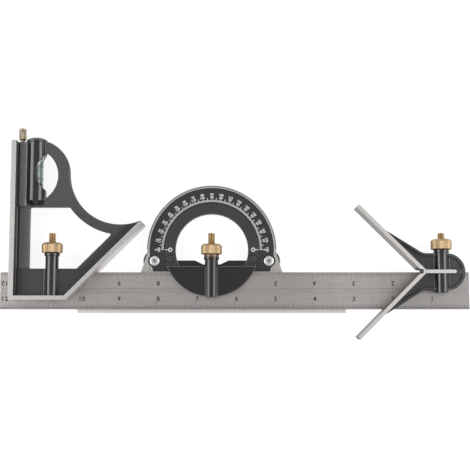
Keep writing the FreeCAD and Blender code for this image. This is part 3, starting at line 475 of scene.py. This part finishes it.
def casting_material(name, bare_mask, rounds, tone, specular, warmth=0.4, tint=(0.64, 0.63, 0.615),
                     side_tint_and_shade=((0.20, 0.195, 0.19), (0.34, 0.33, 0.32))):
    """Black enamel with ground bare faces where bare_mask(shader, ragged) is 1."""
    shader = Shader(name, Specular_IOR_Level=specular)
    ragged = shader.math("MULTIPLY", shader.math("SUBTRACT", shader.noise(0.8, 3.0), 0.5), 0.5)
    smooth, fillet, foot = rounds(shader)
    mask = shader.both(bare_mask(shader, ragged), shader.math("SUBTRACT", 1.0, smooth))
    dark, dark_rough, peel = enamel(shader, warmth)
    # Flat faces take the head's tone; smooth rounds are painted darker (0.22) as shade, with the
    # painted highlight bands (1.9) where foot is 1.
    dark = shader.scaled(dark, shader.between(smooth, tone(shader),
                                              shader.between(foot, 0.22, 1.9)))
    side = shader.below(shader.facing_z, 0.6, 0.1)
    dark_rough = shader.between(side, dark_rough, 0.60)
    dark_rough = shader.between(smooth, dark_rough, 0.155)
    peel = shader.between(smooth, peel, 0.5)
    steel, steel_rough, grain = ground_steel(shader, (1.4, 1.4, 1.4), tint, 0.86)
    milled = shader.noise(1.0, 3.0, (0.3, 0.3, 6.0))
    # Side faces of the bare steel take their own tint with milled streaks: partly their machined
    # finish, partly painted shade where that tint is darker than the faces on top.
    side_steel_and_shade = shader.colour(shader.contrast(milled, 0.3, 0.7), *side_tint_and_shade)
    steel = shader.colour(side, steel, side_steel_and_shade)
    steel_rough = shader.math("ADD", steel_rough, 0.12)
    height = shader.between(mask, peel, shader.math("MULTIPLY", grain, 0.4))
    cast = shader.bump(fillet, 0.5, 1.0, shader.rounded(0.45))
    return shader.set(Base_Color=shader.colour(mask, dark, steel), Metallic=mask,
                      Roughness=shader.between(mask, dark_rough, steel_rough),
                      Normal=shader.bump(height, 0.05, 0.36, cast))


def square_bare(shader, ragged):
    """Ground faces of the square head: rims, their outer faces and the 45 degree face."""
    soft = 0.06
    slant = shader.math("SUBTRACT", shader.x, shader.y)
    z = shader.math("ADD", shader.z, ragged)
    front = shader.above(z, SQUARE_HIGH.z - 0.30, soft)
    back = shader.below(z, 0.30, soft)
    side = shader.below(shader.x, SQUARE_LOW.x + 0.15, soft)
    low = shader.below(shader.y, SQUARE_LOW.y + 0.15, soft)
    mitre = shader.above(slant, MITRE_CORNER - 0.2, soft)
    past_tip = shader.above(shader.math("ADD", shader.x, shader.y), MITRE_TIP - 0.2, soft)
    rim_end = shader.both(shader.above(slant, MITRE_CORNER - 3.9, soft), past_tip)
    top = shader.both(shader.above(shader.y, SQUARE_HIGH.y - 0.1, soft),
                      shader.below(shader.x, SQUARE_LOW.x + SQUARE_RIM, soft))
    return shader.either(front, back, side, low, mitre, rim_end, top)


def centre_bare(shader, ragged):
    """Ground faces of the centre head: arm edges, the vee's faces and the bisector rib."""
    soft = 0.06
    vee_y = RULE_Y + LEDGE
    vee_x = CENTRE_LOW.x + ARM_REACH
    away = shader.off(shader.y, vee_y)
    z = shader.math("ADD", shader.z, ragged)
    front = shader.above(z, CENTRE_HIGH.z - 0.30, soft)
    back = shader.below(z, CENTRE_LOW.z + 0.30, soft)
    inner = shader.below(shader.math("ADD", shader.x, away), vee_x + 0.2, soft)
    past_end = shader.below(shader.math("SUBTRACT", shader.x, away),
                            vee_x - 2 * ARM_REACH + 0.2, soft)
    upper_end = shader.both(past_end, shader.above(shader.y, vee_y, 0.1))
    ground = shader.either(front, back, inner, upper_end)
    rise = shader.math("SUBTRACT", shader.y, vee_y)
    notch = shader.both(shader.within(rise, -1.5, 2.6, 0.05),
                        shader.below(shader.x, vee_x + 1.0, 0.05),
                        shader.below(shader.facing_z, 0.5, 0.05))
    return shader.both(ground, shader.math("SUBTRACT", 1.0, notch))


def turret_bare(shader, ragged):
    """The machined edge round the front segment and along its chord."""
    across = shader.off(shader.x, DIAL_X)
    dy = shader.math("SUBTRACT", shader.y, DIAL_Y)
    radius = shader.away(shader.x, shader.y, DIAL_X, DIAL_Y)
    rim = shader.above(shader.math("ADD", radius, shader.math("MULTIPLY", ragged, 0.3)),
                       SEGMENT_RADIUS - 0.16, 0.06)
    front_rim = shader.both(rim, shader.above(shader.z, 9.0, 0.2))
    front_chord = shader.both(shader.within(dy, CHORD_RISE - 0.22, CHORD_RISE + 0.1, 0.05),
                              shader.above(shader.z, 12.6, 0.1))
    edge = shader.both(shader.either(front_rim, front_chord),
                       shader.above(across, COLUMN_RADIUS + 0.1, 0.1))
    end = shader.math("SUBTRACT", across, shader.math("MULTIPLY", dy, 0.35))
    bridge_end = shader.both(shader.within(end, 25.1, 25.5, 0.05),
                             shader.within(dy, CHORD_RISE, BRIDGE_RISE - 0.1, 0.05))
    return shader.either(shader.math("MULTIPLY", edge, 0.7),
                         shader.math("MULTIPLY", bridge_end, 0.35))


def protractor_material():
    """Ground steel body, with painted shadow in the seats round the two lock screws and painted
    shade on its outer rim and side faces.
    """
    shader = Shader("protractor_steel")
    base, rough, grain = ground_steel(shader, (1.2, 1.2, 1.2), (0.66, 0.645, 0.62))
    dark, dark_rough, peel = enamel(shader)
    across = shader.off(shader.x, DIAL_X)
    away = shader.away(across, shader.y, LOCK_OUT, DIAL_Y - LOCK_DROP)
    # Painted shadow: a dark, non-metal ring in each screw's seat.
    seat_shadow = shader.below(away, LOCK_SHADOW_RADIUS, 0.06)
    out = shader.away(across, shader.y, 0, DIAL_Y)
    # Painted shade: the outer rim beyond the dial in its upper half, and the side faces, darkened.
    side_shade = shader.below(shader.facing_z, 0.6, 0.1)
    outer_rim_shade = shader.both(shader.above(out, DIAL_RADIUS + 0.75, 0.25),
                       shader.above(shader.y, DIAL_Y, 1))
    shade = shader.either(shader.math("MULTIPLY", outer_rim_shade, 0.75),
                          shader.math("MULTIPLY", side_shade, 0.5))
    base = shader.colour(shade, base, (0.27, 0.25, 0.235))
    strip = shader.both(shader.below(shader.y, RULE_LOW.y + 0.3, 0.2),
                        shader.above(shader.facing_z, 0.5, 0.1))
    base = shader.colour(strip, base, (0.93, 0.915, 0.90))
    base = shader.colour(seat_shadow, base, dark)
    metal = shader.math("SUBTRACT", 1.0, seat_shadow)
    height = shader.between(seat_shadow, shader.math("MULTIPLY", grain, 0.5), peel)
    return shader.set(Base_Color=base, Metallic=metal,
                      Roughness=shader.between(seat_shadow, shader.math("ADD", rough, 0.06), dark_rough),
                      Normal=shader.bump(height, 0.04, 0.45, shader.rounded(0.3)))


def black_steel_material(name="blacked_steel", roughness=0.34):
    shader = Shader(name, Metallic=0.0, Specular_IOR_Level=0.8)
    base, rough, height = enamel(shader)
    rub = shader.contrast(shader.noise(0.5, 4.0), 0.55, 0.8)
    base = shader.stained(base, rub, 0.35, (0.09, 0.088, 0.085))
    return shader.set(Base_Color=base, Roughness=shader.math("ADD", rough, roughness - 0.32),
                      Normal=shader.bump(height, 0.03, 0.4, shader.rounded(0.3)))


def brass_material(name, tint, rough_low, rough_high, tarnish=(0.34, 0.19, 0.08)):
    shader = Shader(name, Metallic=1.0)
    grain = shader.noise(2.2, 4.0, (1.0, 5.0, 1.0), 0.6)
    cloud = shader.noise(0.35, 3.0)
    bright = tuple(min(1.0, c * 1.10) for c in tint)
    base = shader.colour(shader.contrast(grain, 0.3, 0.7), tint, bright)
    base = shader.stained(base, shader.contrast(cloud, 0.5, 0.85), 0.45, tarnish)
    rough = shader.between(shader.contrast(grain, 0.3, 0.75), rough_low, rough_high)
    return shader.set(Base_Color=base, Roughness=rough,
                      Normal=shader.bump(grain, 0.02, 0.5, shader.rounded(0.15)))


def ink_material(name, tint, worn):
    """Filled graduations, with small worn spots."""
    shader = Shader(name, Roughness=0.5)
    wear = shader.contrast(shader.noise(1.7, 4.0), 0.52, 0.78)
    base = shader.stained(tint, wear, 0.55, worn)
    fill = shader.noise(6.0, 2.0)
    return shader.set(Base_Color=base, Roughness=shader.between(fill, 0.40, 0.62),
                      Normal=shader.bump(fill, 0.01, 0.4))


def dial_material():
    shader = Shader("dial_black", Specular_IOR_Level=0.7)
    ring = shader.noise(1.2, 3.0)
    speck = shader.noise(7.0, 2.0)
    base = shader.colour(shader.contrast(speck, 0.35, 0.7), (0.014, 0.014, 0.015),
                         (0.032, 0.032, 0.033))
    return shader.set(Base_Color=base, Roughness=shader.between(ring, 0.30, 0.46),
                      Normal=shader.bump(shader.math("ADD", ring, speck), 0.02, 0.35,
                                         shader.rounded(0.2)))


def beyond_view(shader):
    """Distance past the clear part of the vial: outside it the glass is painted dark and opaque as
    shadow.
    """
    return shader.math("SUBTRACT", shader.away(shader.x, shader.y, *VIEW_CENTRE), VIEW_RADIUS)


def glass_material():
    shader = Shader("vial_clear_glass", Specular_IOR_Level=1.0, Coat_Weight=1.0,
                    Coat_Roughness=0.05)
    streak = shader.noise(0.12, 2.0, (1.0, 0.3, 1.0))
    clear = shader.colour(streak, (0.17, 0.31, 0.23), (0.20, 0.37, 0.28))
    past = beyond_view(shader)
    # Painted shadow outside the clear view, and a painted highlight along its upper edge.
    blacked = shader.above(past, 0.0, 0.1)
    edge_glint = shader.both(shader.within(past, 0.0, 0.55, 0.1),
                        shader.above(shader.y, VIEW_CENTRE[1] + 2.0, 3.0))
    base = shader.colour(edge_glint, shader.colour(blacked, clear, (0.012, 0.012, 0.012)),
                         (0.80, 0.80, 0.78))
    return shader.set(Base_Color=base, Alpha=shader.between(blacked, 0.55, 1.0),
                      Roughness=shader.between(streak, 0.10, 0.18))


def spirit_material():
    shader = Shader("vial_green_spirit", Specular_IOR_Level=0.3)
    depth = shader.noise(0.12, 2.0)
    return shader.set(Base_Color=shader.colour(depth, (0.09, 0.22, 0.15), (0.13, 0.29, 0.20)),
                      Roughness=shader.between(depth, 0.14, 0.24))


def screw_material():
    """Bright plated heads, painted darker in the sockets as shade."""
    shader = Shader("plated_screw", Metallic=0.6)
    base, rough, grain = ground_steel(shader, (1.5, 1.5, 1.5), (0.88, 0.88, 0.87))
    top = box_mm("lock_screws")[1].z
    across = shader.off(shader.x, DIAL_X)
    away = shader.away(across, shader.y, LOCK_OUT, DIAL_Y - LOCK_DROP)
    # Painted shade inside the hexagon sockets.
    socket = shader.both(shader.below(shader.z, top - 0.12, 0.2), shader.below(away, 1.6, 0.05))
    base = shader.colour(socket, base, (0.44, 0.43, 0.42))
    return shader.set(Base_Color=base, Roughness=shader.math("SUBTRACT", rough, 0.10),
                      Normal=shader.bump(grain, 0.02, 0.3))


def wire_material():
    return bare_steel_material("spring_wire", (2.0, 2.0, 2.0), (0.55, 0.55, 0.56))


def floor_material():
    """Pale floor that renders near white and keeps a soft shadow."""
    material = bpy.data.materials.new("studio_floor")
    material.use_nodes = True
    tree = material.node_tree
    tree.nodes.clear()
    output = tree.nodes.new("ShaderNodeOutputMaterial")
    diffuse = tree.nodes.new("ShaderNodeBsdfDiffuse")
    diffuse.inputs["Color"].default_value = (0.80, 0.80, 0.80, 1)
    faint = tree.nodes.new("ShaderNodeBsdfDiffuse")
    faint.inputs["Color"].default_value = (0.24, 0.24, 0.24, 1)
    glow = tree.nodes.new("ShaderNodeEmission")
    glow.inputs["Strength"].default_value = 0.88
    seen = tree.nodes.new("ShaderNodeAddShader")
    tree.links.new(faint.outputs[0], seen.inputs[0])
    tree.links.new(glow.outputs[0], seen.inputs[1])
    path = tree.nodes.new("ShaderNodeLightPath")
    camera_or_glossy = tree.nodes.new("ShaderNodeMath")
    camera_or_glossy.operation = "MAXIMUM"
    tree.links.new(path.outputs["Is Camera Ray"], camera_or_glossy.inputs[0])
    tree.links.new(path.outputs["Is Glossy Ray"], camera_or_glossy.inputs[1])
    direct = tree.nodes.new("ShaderNodeMath")
    direct.operation = "MAXIMUM"
    tree.links.new(camera_or_glossy.outputs[0], direct.inputs[0])
    tree.links.new(path.outputs["Is Transmission Ray"], direct.inputs[1])
    mix = tree.nodes.new("ShaderNodeMixShader")
    tree.links.new(direct.outputs[0], mix.inputs[0])
    tree.links.new(diffuse.outputs[0], mix.inputs[1])
    tree.links.new(seen.outputs[0], mix.inputs[2])
    tree.links.new(mix.outputs[0], output.inputs["Surface"])
    return material


def make_floor():
    size = 3.0
    mesh = bpy.data.meshes.new("floor")
    corners = [(-size, -size, 0), (size, -size, 0), (size, size, 0), (-size, size, 0)]
    mesh.from_pydata(corners, [], [(0, 1, 2, 3)])
    floor = bpy.data.objects.new("floor", mesh)
    floor.location.z = -0.0002
    bpy.context.scene.collection.objects.link(floor)
    mesh.materials.append(floor_material())


# mesh helpers

def new_piece(name, points, faces, material, body, replaced=(), sharp=35):
    """A mesh piece from points in millimetres, riding on a body of the frame."""
    mesh = bpy.data.meshes.new(name)
    mesh.from_pydata([Vector(p) * MM for p in points], [], faces)
    mesh.validate()
    mesh.shade_smooth()
    mesh.set_sharp_from_angle(angle=math.radians(sharp))
    mesh.materials.append(material)
    piece = bpy.data.objects.new(name, mesh)
    bpy.context.scene.collection.objects.link(piece)
    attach(piece, body)
    if replaced:
        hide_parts(*replaced)
    return piece


class Lathe:
    """Rings of points round an axis along Y or Z, joined into a skin."""

    def __init__(self, centre, axis, segments):
        self.centre = centre
        self.axis = axis
        self.segments = segments
        self.points = []
        self.faces = []
        self.last = None

    def place(self, radius, angle, height):
        a = radius * math.cos(angle)
        b = radius * math.sin(angle)
        if self.axis == "Y":
            return (self.centre[0] + a, height, self.centre[1] - b)
        return (self.centre[0] + a, self.centre[1] + b, height)

    def ring(self, radius, height):
        """radius is a number or a function of the angle."""
        start = len(self.points)
        for i in range(self.segments):
            angle = 2 * math.pi * i / self.segments
            r = radius(angle) if callable(radius) else radius
            self.points.append(self.place(r, angle, height))
        if self.last is not None:
            self.join(self.last, start)
        self.last = start
        return start

    def join(self, low, high):
        n = self.segments
        for i in range(n):
            k = (i + 1) % n
            self.faces.append((low + i, low + k, high + k, high + i))

    def cap(self, start, height, upwards):
        centre = len(self.points)
        self.points.append(self.place(0, 0, height))
        n = self.segments
        for i in range(n):
            k = (i + 1) % n
            pair = (start + i, start + k) if upwards else (start + k, start + i)
            self.faces.append((*pair, centre))


def knurl(teeth, depth, radius):
    """Straight knurl: a triangular wave round the rim."""
    def at(angle):
        phase = (angle * teeth / (2 * math.pi)) % 1.0
        return radius - depth * abs(2 * phase - 1)
    return at


def hexagon(across_flats):
    def at(angle):
        sixth = math.pi / 3
        return across_flats / 2 / math.cos((angle % sixth) - sixth / 2)
    return at


# clamp nuts and studs, scriber knob, lock nuts and screws

NUT_TEETH = 56
NUT_KNURL_DEPTH = 0.13
THREAD_PITCH = 1.058
THREAD_DEPTH = 0.42
THREAD_RINGS = 10


def make_clamp_nut(head, body, material):
    node = head + "_clamp_nut"
    low, high = box_mm(node)
    r = (high.x - low.x) / 2
    bore = 2.45
    y0 = low.y
    y1 = high.y
    lathe = Lathe((middle(node).x, middle(node).z), "Y", NUT_TEETH * 4)
    profile = [(bore, y0 + 0.5), (bore + 0.45, y0), (r - 1.6, y0), (r - 1.45, y0 + 0.15),
               (r - 0.75, y0 + 0.18), (r - 0.36, y0 + 0.32)]
    for radius, y in profile:
        lathe.ring(radius, y)
    lathe.ring(knurl(NUT_TEETH, NUT_KNURL_DEPTH, r), y0 + 0.55)
    lathe.ring(knurl(NUT_TEETH, NUT_KNURL_DEPTH, r), y1 - 1.30)
    for radius, y in [(r - 0.42, y1 - 0.80), (r - 0.90, y1 - 0.34), (r - 1.45, y1 - 0.08),
                      (r - 2.2, y1), (bore + 0.5, y1), (bore, y1 - 0.5)]:
        lathe.ring(radius, y)
    lathe.join(lathe.last, 0)
    return new_piece(head + "_nut_knurled", lathe.points, lathe.faces, material, body,
                     (node,), 22)


def thread_radius(radius, depth, height):
    def at(angle):
        phase = (height / THREAD_PITCH - angle / (2 * math.pi)) % 1.0
        ridge = abs(2 * phase - 1)
        return radius - depth * min(1.0, max(0.0, 1.35 * ridge - 0.15))
    return at


def make_clamp_stud(head, body, material):
    """The hook end is taken from the frame's own solid, the stud is threaded."""
    node = head + "_clamp_bolt"
    low, high = box_mm(node)
    shoulder = RULE_Y + 9.5
    radius = 2.4
    start = shoulder + 12.0
    chamfer = 0.5
    centre = (middle(head + "_clamp_nut").x, middle(head + "_clamp_nut").z)
    lathe = Lathe(centre, "Y", 40)
    first = lathe.ring(radius, shoulder - 0.2)
    lathe.cap(first, shoulder - 0.2, False)
    lathe.ring(radius, start)
    step = THREAD_PITCH / THREAD_RINGS
    rings = int((high.y - chamfer - start) / step)
    for i in range(rings + 1):
        height = start + i * step
        depth = THREAD_DEPTH * min(1.0, i / THREAD_RINGS)
        lathe.ring(thread_radius(radius, depth, height), height)
    last = lathe.ring(radius - chamfer, high.y)
    lathe.cap(last, high.y, True)
    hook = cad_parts[node].data.copy()
    points = [tuple(v.co / MM) for v in hook.vertices]
    keep = [tuple(p.vertices) for p in hook.polygons
            if all(points[v][1] < shoulder + 0.01 for v in p.vertices)]
    offset = len(points)
    faces = keep + [tuple(v + offset for v in f) for f in lathe.faces]
    return new_piece(head + "_stud_threaded", points + lathe.points, faces, material, body,
                     (node,), 40)


def make_scriber_knob(material):
    node = "scriber_knob"
    low, high = box_mm(node)
    r = (high.x - low.x) / 2
    teeth = 30
    top = high.y
    neck = 1.5
    lathe = Lathe((middle(node).x, middle(node).z), "Y", teeth * 4)
    first = lathe.ring(neck, low.y)
    lathe.cap(first, low.y, False)
    lathe.ring(neck, low.y + 1.3)
    lathe.ring(neck + 0.45, low.y + 1.55)
    rough = knurl(teeth, 0.18, r)
    lathe.ring(r - 0.3, low.y + 1.75)
    lathe.ring(rough, low.y + 2.05)
    lathe.ring(rough, top - 2.45)
    for radius, y in [(r - 0.35, top - 2.25), (r - 0.35, top - 1.95), (r - 0.05, top - 1.75),
                      (r - 0.05, top - 0.45), (r - 0.45, top - 0.1)]:
        lathe.ring(radius, y)
    last = lathe.ring(r - 0.9, top)
    lathe.cap(last, top, True)
    return new_piece("scriber_knob_knurled", lathe.points, lathe.faces, material, "scriber",
                     (node,), 24)


def make_lock_nut(side, material):
    node = "lock_nut_" + side
    low, high = box_mm(node)
    r = (high.x - low.x) / 2
    teeth = 40
    lathe = Lathe((middle(node).x, middle(node).y), "Z", teeth * 4)
    bore = 2.05
    rough = knurl(teeth, 0.32, r)
    lathe.ring(bore, low.z + 0.3)
    lathe.ring(bore + 0.3, low.z)
    lathe.ring(r - 2.4, low.z)
    lathe.ring(r - 2.2, low.z + 0.3)
    lathe.ring(r - 0.8, low.z + 0.3)
    lathe.ring(rough, low.z + 0.7)
    lathe.ring(rough, high.z - 0.5)
    lathe.ring(r - 0.7, high.z - 0.1)
    lathe.ring(r - 1.2, high.z)
    lathe.ring(bore + 0.3, high.z)
    lathe.ring(bore, high.z - 0.3)
    lathe.join(lathe.last, 0)
    return new_piece("lock_nut_" + side + "_knurled", lathe.points, lathe.faces, material,
                     side + "_lock_nut", (node,), 24)


def make_lock_screws(material):
    """Two domed screw heads with a hexagon socket; one piece stands for both solids."""
    node = "lock_screws"
    low, high = box_mm(node)
    head = 3.5
    shank = 2.0
    points = []
    faces = []
    for x in (low.x + head, high.x - head):
        y = middle(node).y
        lathe = Lathe((x, y), "Z", 48)
        first = lathe.ring(shank - 0.2, low.z)
        lathe.cap(first, low.z, False)
        lathe.ring(shank, low.z + 0.2)
        lathe.ring(shank, high.z - 1.6)
        lathe.ring(head - 0.1, high.z - 1.6)
        lathe.ring(head, high.z - 1.5)
        lathe.ring(head, high.z - 0.95)
        for i in range(1, 7):
            turn = math.pi / 2 * i / 7
            lathe.ring(2.05 + (head - 2.05) * math.cos(turn), high.z - 0.95 + 0.93 * math.sin(turn))
        lathe.ring(2.05, high.z)
        lathe.ring(hexagon(2.5), high.z - 0.05)
        floor = lathe.ring(hexagon(2.4), high.z - 1.0)
        lathe.cap(floor, high.z - 1.15, True)
        offset = len(points)
        points += lathe.points
        faces += [tuple(v + offset for v in f) for f in lathe.faces]
    return new_piece("lock_screw_heads", points, faces, material, "protractor",
                     (node,), 35)


def make_vial_lines(material):
    """Two index rings round the vial, either side of the bubble."""
    node = "vial_glass"
    low, high = box_mm(node)
    r = (high.x - low.x) / 2
    centre = middle(node)
    points = []
    faces = []
    for offset_y in (-4.2, 4.2):
        lathe = Lathe((centre.x, centre.z), "Y", 64)
        y = centre.y + offset_y
        lathe.ring(r - 0.02, y - 0.25)
        lathe.ring(r + 0.03, y - 0.25)
        lathe.ring(r + 0.03, y + 0.25)
        lathe.ring(r - 0.02, y + 0.25)
        lathe.join(lathe.last, 0)
        offset = len(points)
        points += lathe.points
        faces += [tuple(v + offset for v in f) for f in lathe.faces]
    return new_piece("vial_index_lines", points, faces, material, "square_head")


# graduations and numbers

class Marks:
    """Thin raised marks on a flat face, gathered into one mesh."""

    def __init__(self, z, rise=0.012, sink=0.03):
        self.low = z - sink
        self.high = z + rise
        self.points = []
        self.faces = []

    def loop(self, outline):
        """A flat closed outline, given anticlockwise."""
        n = len(outline)
        start = len(self.points)
        self.points += [(x, y, self.low) for x, y in outline]
        self.points += [(x, y, self.high) for x, y in outline]
        self.faces.append(tuple(start + n + i for i in range(n)))
        self.faces.append(tuple(start + n - 1 - i for i in range(n)))
        for i in range(n):
            k = (i + 1) % n
            self.faces.append((start + i, start + k, start + n + k, start + n + i))

    def line(self, x0, y0, x1, y1, width):
        run = math.hypot(x1 - x0, y1 - y0)
        nx = -(y1 - y0) / run * width / 2
        ny = (x1 - x0) / run * width / 2
        self.loop([(x0 - nx, y0 - ny), (x1 - nx, y1 - ny), (x1 + nx, y1 + ny), (x0 + nx, y0 + ny)])

    def ring(self, x, y, inner, outer, segments=40):
        start = len(self.points)
        for radius, z in ((inner, self.low), (outer, self.low), (outer, self.high),
                          (inner, self.high)):
            for i in range(segments):
                angle = 2 * math.pi * i / segments
                self.points.append((x + radius * math.cos(angle), y + radius * math.sin(angle), z))
        for row in range(4):
            for i in range(segments):
                k = (i + 1) % segments
                a = start + row * segments
                b = start + (row + 1) % 4 * segments
                self.faces.append((a + i, a + k, b + k, b + i))

    def arc(self, x, y, inner, outer, start_deg, end_deg, steps):
        angles = [math.radians(start_deg + (end_deg - start_deg) * i / steps)
                  for i in range(steps + 1)]
        for a, b in zip(angles, angles[1:]):
            self.loop([(x + inner * math.cos(a), y + inner * math.sin(a)),
                       (x + outer * math.cos(a), y + outer * math.sin(a)),
                       (x + outer * math.cos(b), y + outer * math.sin(b)),
                       (x + inner * math.cos(b), y + inner * math.sin(b))])

    def text(self, words, height, x, y, turn):
        """Plain digits, centred on (x, y), turned anticlockwise by turn degrees."""
        points, faces = digits(words)
        spin = math.radians(turn)
        start = len(self.points)
        for px, py, top in points:
            u = px * height
            v = py * height
            self.points.append((x + u * math.cos(spin) - v * math.sin(spin),
                                y + u * math.sin(spin) + v * math.cos(spin),
                                self.high if top else self.low))
        self.faces += [tuple(v + start for v in f) for f in faces]


DIGIT_CACHE = {}


def digits(words):
    """Mesh of some bold digits, scaled to a height of 1 and centred on its own middle."""
    if words in DIGIT_CACHE:
        return DIGIT_CACHE[words]
    curve = bpy.data.curves.new("digits", "FONT")
    curve.body = words
    curve.extrude = 0.05
    curve.resolution_u = 3
    curve.offset = 0.030
    holder = bpy.data.objects.new("digits", curve)
    mesh = bpy.data.meshes.new_from_object(holder)
    low_y = min(v.co.y for v in mesh.vertices)
    high_y = max(v.co.y for v in mesh.vertices)
    low_x = min(v.co.x for v in mesh.vertices)
    high_x = max(v.co.x for v in mesh.vertices)
    scale = 1 / (high_y - low_y)
    points = [((v.co.x - (low_x + high_x) / 2) * scale, (v.co.y - (low_y + high_y) / 2) * scale,
               v.co.z > 0) for v in mesh.vertices]
    faces = [tuple(p.vertices) for p in mesh.polygons]
    bpy.data.objects.remove(holder)
    bpy.data.meshes.remove(mesh)
    DIGIT_CACHE[words] = (points, faces)
    return DIGIT_CACHE[words]


DIGIT_HEIGHT = 3.0
DIGIT_PITCH = 2.4


def make_rule_marks(material):
    marks = Marks(RULE_HIGH.z)
    right = RULE_HIGH.x
    ranks = {64: 5.0, 32: 4.3, 16: 3.8, 8: 3.3, 4: 2.8, 2: 2.3, 1: 1.6}
    for i in range(1, 64 * 12):
        part = next(step for step in ranks if i % step == 0)
        x = right - i * INCH / 64
        width = 0.18 if part >= 8 else 0.15 if part >= 2 else 0.13
        length = ranks[part]
        marks.line(x, RULE_LOW.y + 0.08, x, RULE_LOW.y + length, width)
        if part >= 2:
            marks.line(x, RULE_HIGH.y - length * 0.88, x, RULE_HIGH.y - 0.08, width)
    for n in range(1, 13):
        shift = 1.2 if n < 10 else 2.5 if n < 12 else 3.1
        x = right - n * INCH + shift
        shares = (0,) if n < 10 else (-0.5, 0.5)
        for digit, share in zip(str(n), shares):
            out = share * DIGIT_PITCH
            marks.text(digit, DIGIT_HEIGHT, x + out, RULE_Y - 5.2, 0)
            marks.text(digit, DIGIT_HEIGHT, x - out, RULE_Y + 4.7, 180)
    return new_piece("rule_graduations", marks.points, marks.faces, material, "rule")


SCALE_RADIUS = 31.45
DIAL_DIGIT_HEIGHT = 1.65


def make_dial_marks(material):
    marks = Marks(DIAL_Z)
    for degree in range(0, 181):
        long = degree % 5 == 0
        outer = 33.4 if degree % 10 == 0 else 34.3 if long else 32.9
        width = 0.34 if long else 0.30
        inner = 31.1 if degree % 180 == 0 else SCALE_RADIUS
        c = math.cos(math.radians(degree))
        s = math.sin(math.radians(degree))
        marks.line(DIAL_X + inner * c, DIAL_Y + inner * s, DIAL_X + outer * c,
                   DIAL_Y + outer * s, width)
    for degree in range(0, 181, 10):
        for value, radius in ((degree, 34.6), (180 - degree, 36.5)):
            c = math.cos(math.radians(degree))
            s = math.sin(math.radians(degree))
            marks.text(str(value), DIAL_DIGIT_HEIGHT, DIAL_X + radius * c,
                       DIAL_Y + radius * s, degree - 90)
    marks.arc(DIAL_X, DIAL_Y, SCALE_RADIUS, SCALE_RADIUS + 0.5, 0, 180, 120)
    return new_piece("dial_graduations", marks.points, marks.faces, material, "protractor")


def make_turret_marks(material):
    """Index circles and lines on the turret ring, left and right."""
    marks = Marks(box_mm("turret_back")[1].z)
    for side in (-1, 1):
        x = DIAL_X + side * 27.2
        ends = sorted((x + side * 1.35, DIAL_X + side * 30.6))
        marks.ring(x, DIAL_Y, 0.70, 1.40)
        marks.line(ends[0], DIAL_Y, ends[1], DIAL_Y, 0.42)
    return new_piece("turret_index_marks", marks.points, marks.faces, material, "turret")


# carried-over solids

def dress(material, *nodes):
    for name in nodes:
        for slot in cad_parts[name].material_slots:
            slot.material = material


def main():
    bpy.context.scene.view_settings.view_transform = "Standard"
    make_camera()
    make_softbox("softbox_left", -1)
    make_softbox("softbox_right", 1)
    make_world()
    make_floor()

    brass = brass_material("knurled_brass", (0.50, 0.360, 0.215), 0.34, 0.50)
    knob_brass = brass_material("dull_brass", (0.36, 0.295, 0.23), 0.36, 0.50,
                                (0.20, 0.14, 0.09))
    stud_brass = brass_material("threaded_brass", (0.50, 0.35, 0.20), 0.28, 0.46)
    black_steel = black_steel_material()
    ink = ink_material("graduation_ink", (0.030, 0.028, 0.028), (0.20, 0.19, 0.18))
    white_ink = ink_material("white_graduation_fill", (0.72, 0.75, 0.78), (0.45, 0.47, 0.50))

    dress(rule_material(), "rule")
    dress(casting_material("square_head_enamel", square_bare, square_round, square_tone, 1.0,
                           side_tint_and_shade=((0.58, 0.57, 0.56), (0.76, 0.74, 0.73))),
          "square_head_body")
    dress(casting_material("centre_head_enamel", centre_bare, centre_round, centre_tone, 1.0,
                           tint=(0.75, 0.735, 0.72)), "centre_head_body")
    dress(casting_material("turret_enamel", turret_bare, turret_round, turret_tone, 0.85, 0.9),
          "turret_front", "turret_back")
    dress(protractor_material(), "protractor_body", "protractor_lip")
    dress(bare_steel_material("pin_steel", (2.0, 2.0, 2.0), (0.60, 0.59, 0.57)),
          "foot_pins", "scriber_needle")
    dress(dial_material(), "dial_plate")
    dress(black_steel, "turret_plugs", "turret_screws", "vial_cap")
    dress(glass_material(), "vial_glass")
    dress(spirit_material(), "vial_spirit")
    dress(stud_brass, "scriber_sleeve")
    # Brass painted darker as shade, where it sits under the protractor's clamp nut.
    dress(brass_material("shaded_brass_washer", (0.24, 0.16, 0.12), 0.40, 0.55, (0.12, 0.08, 0.06)),
          "protractor_clamp_washer")
    dress(wire_material(), "square_clamp_spring", "protractor_clamp_spring",
          "centre_clamp_spring")

    for head in ("square", "protractor", "centre"):
        make_clamp_nut(head, head + "_nut", brass)
        make_clamp_stud(head, head + "_bolt", stud_brass)
    make_scriber_knob(knob_brass)
    for side in ("left", "right"):
        make_lock_nut(side, black_steel)
    make_lock_screws(screw_material())
    make_vial_lines(black_steel)
    make_rule_marks(ink)
    make_dial_marks(white_ink)
    make_turret_marks(white_ink)


main()
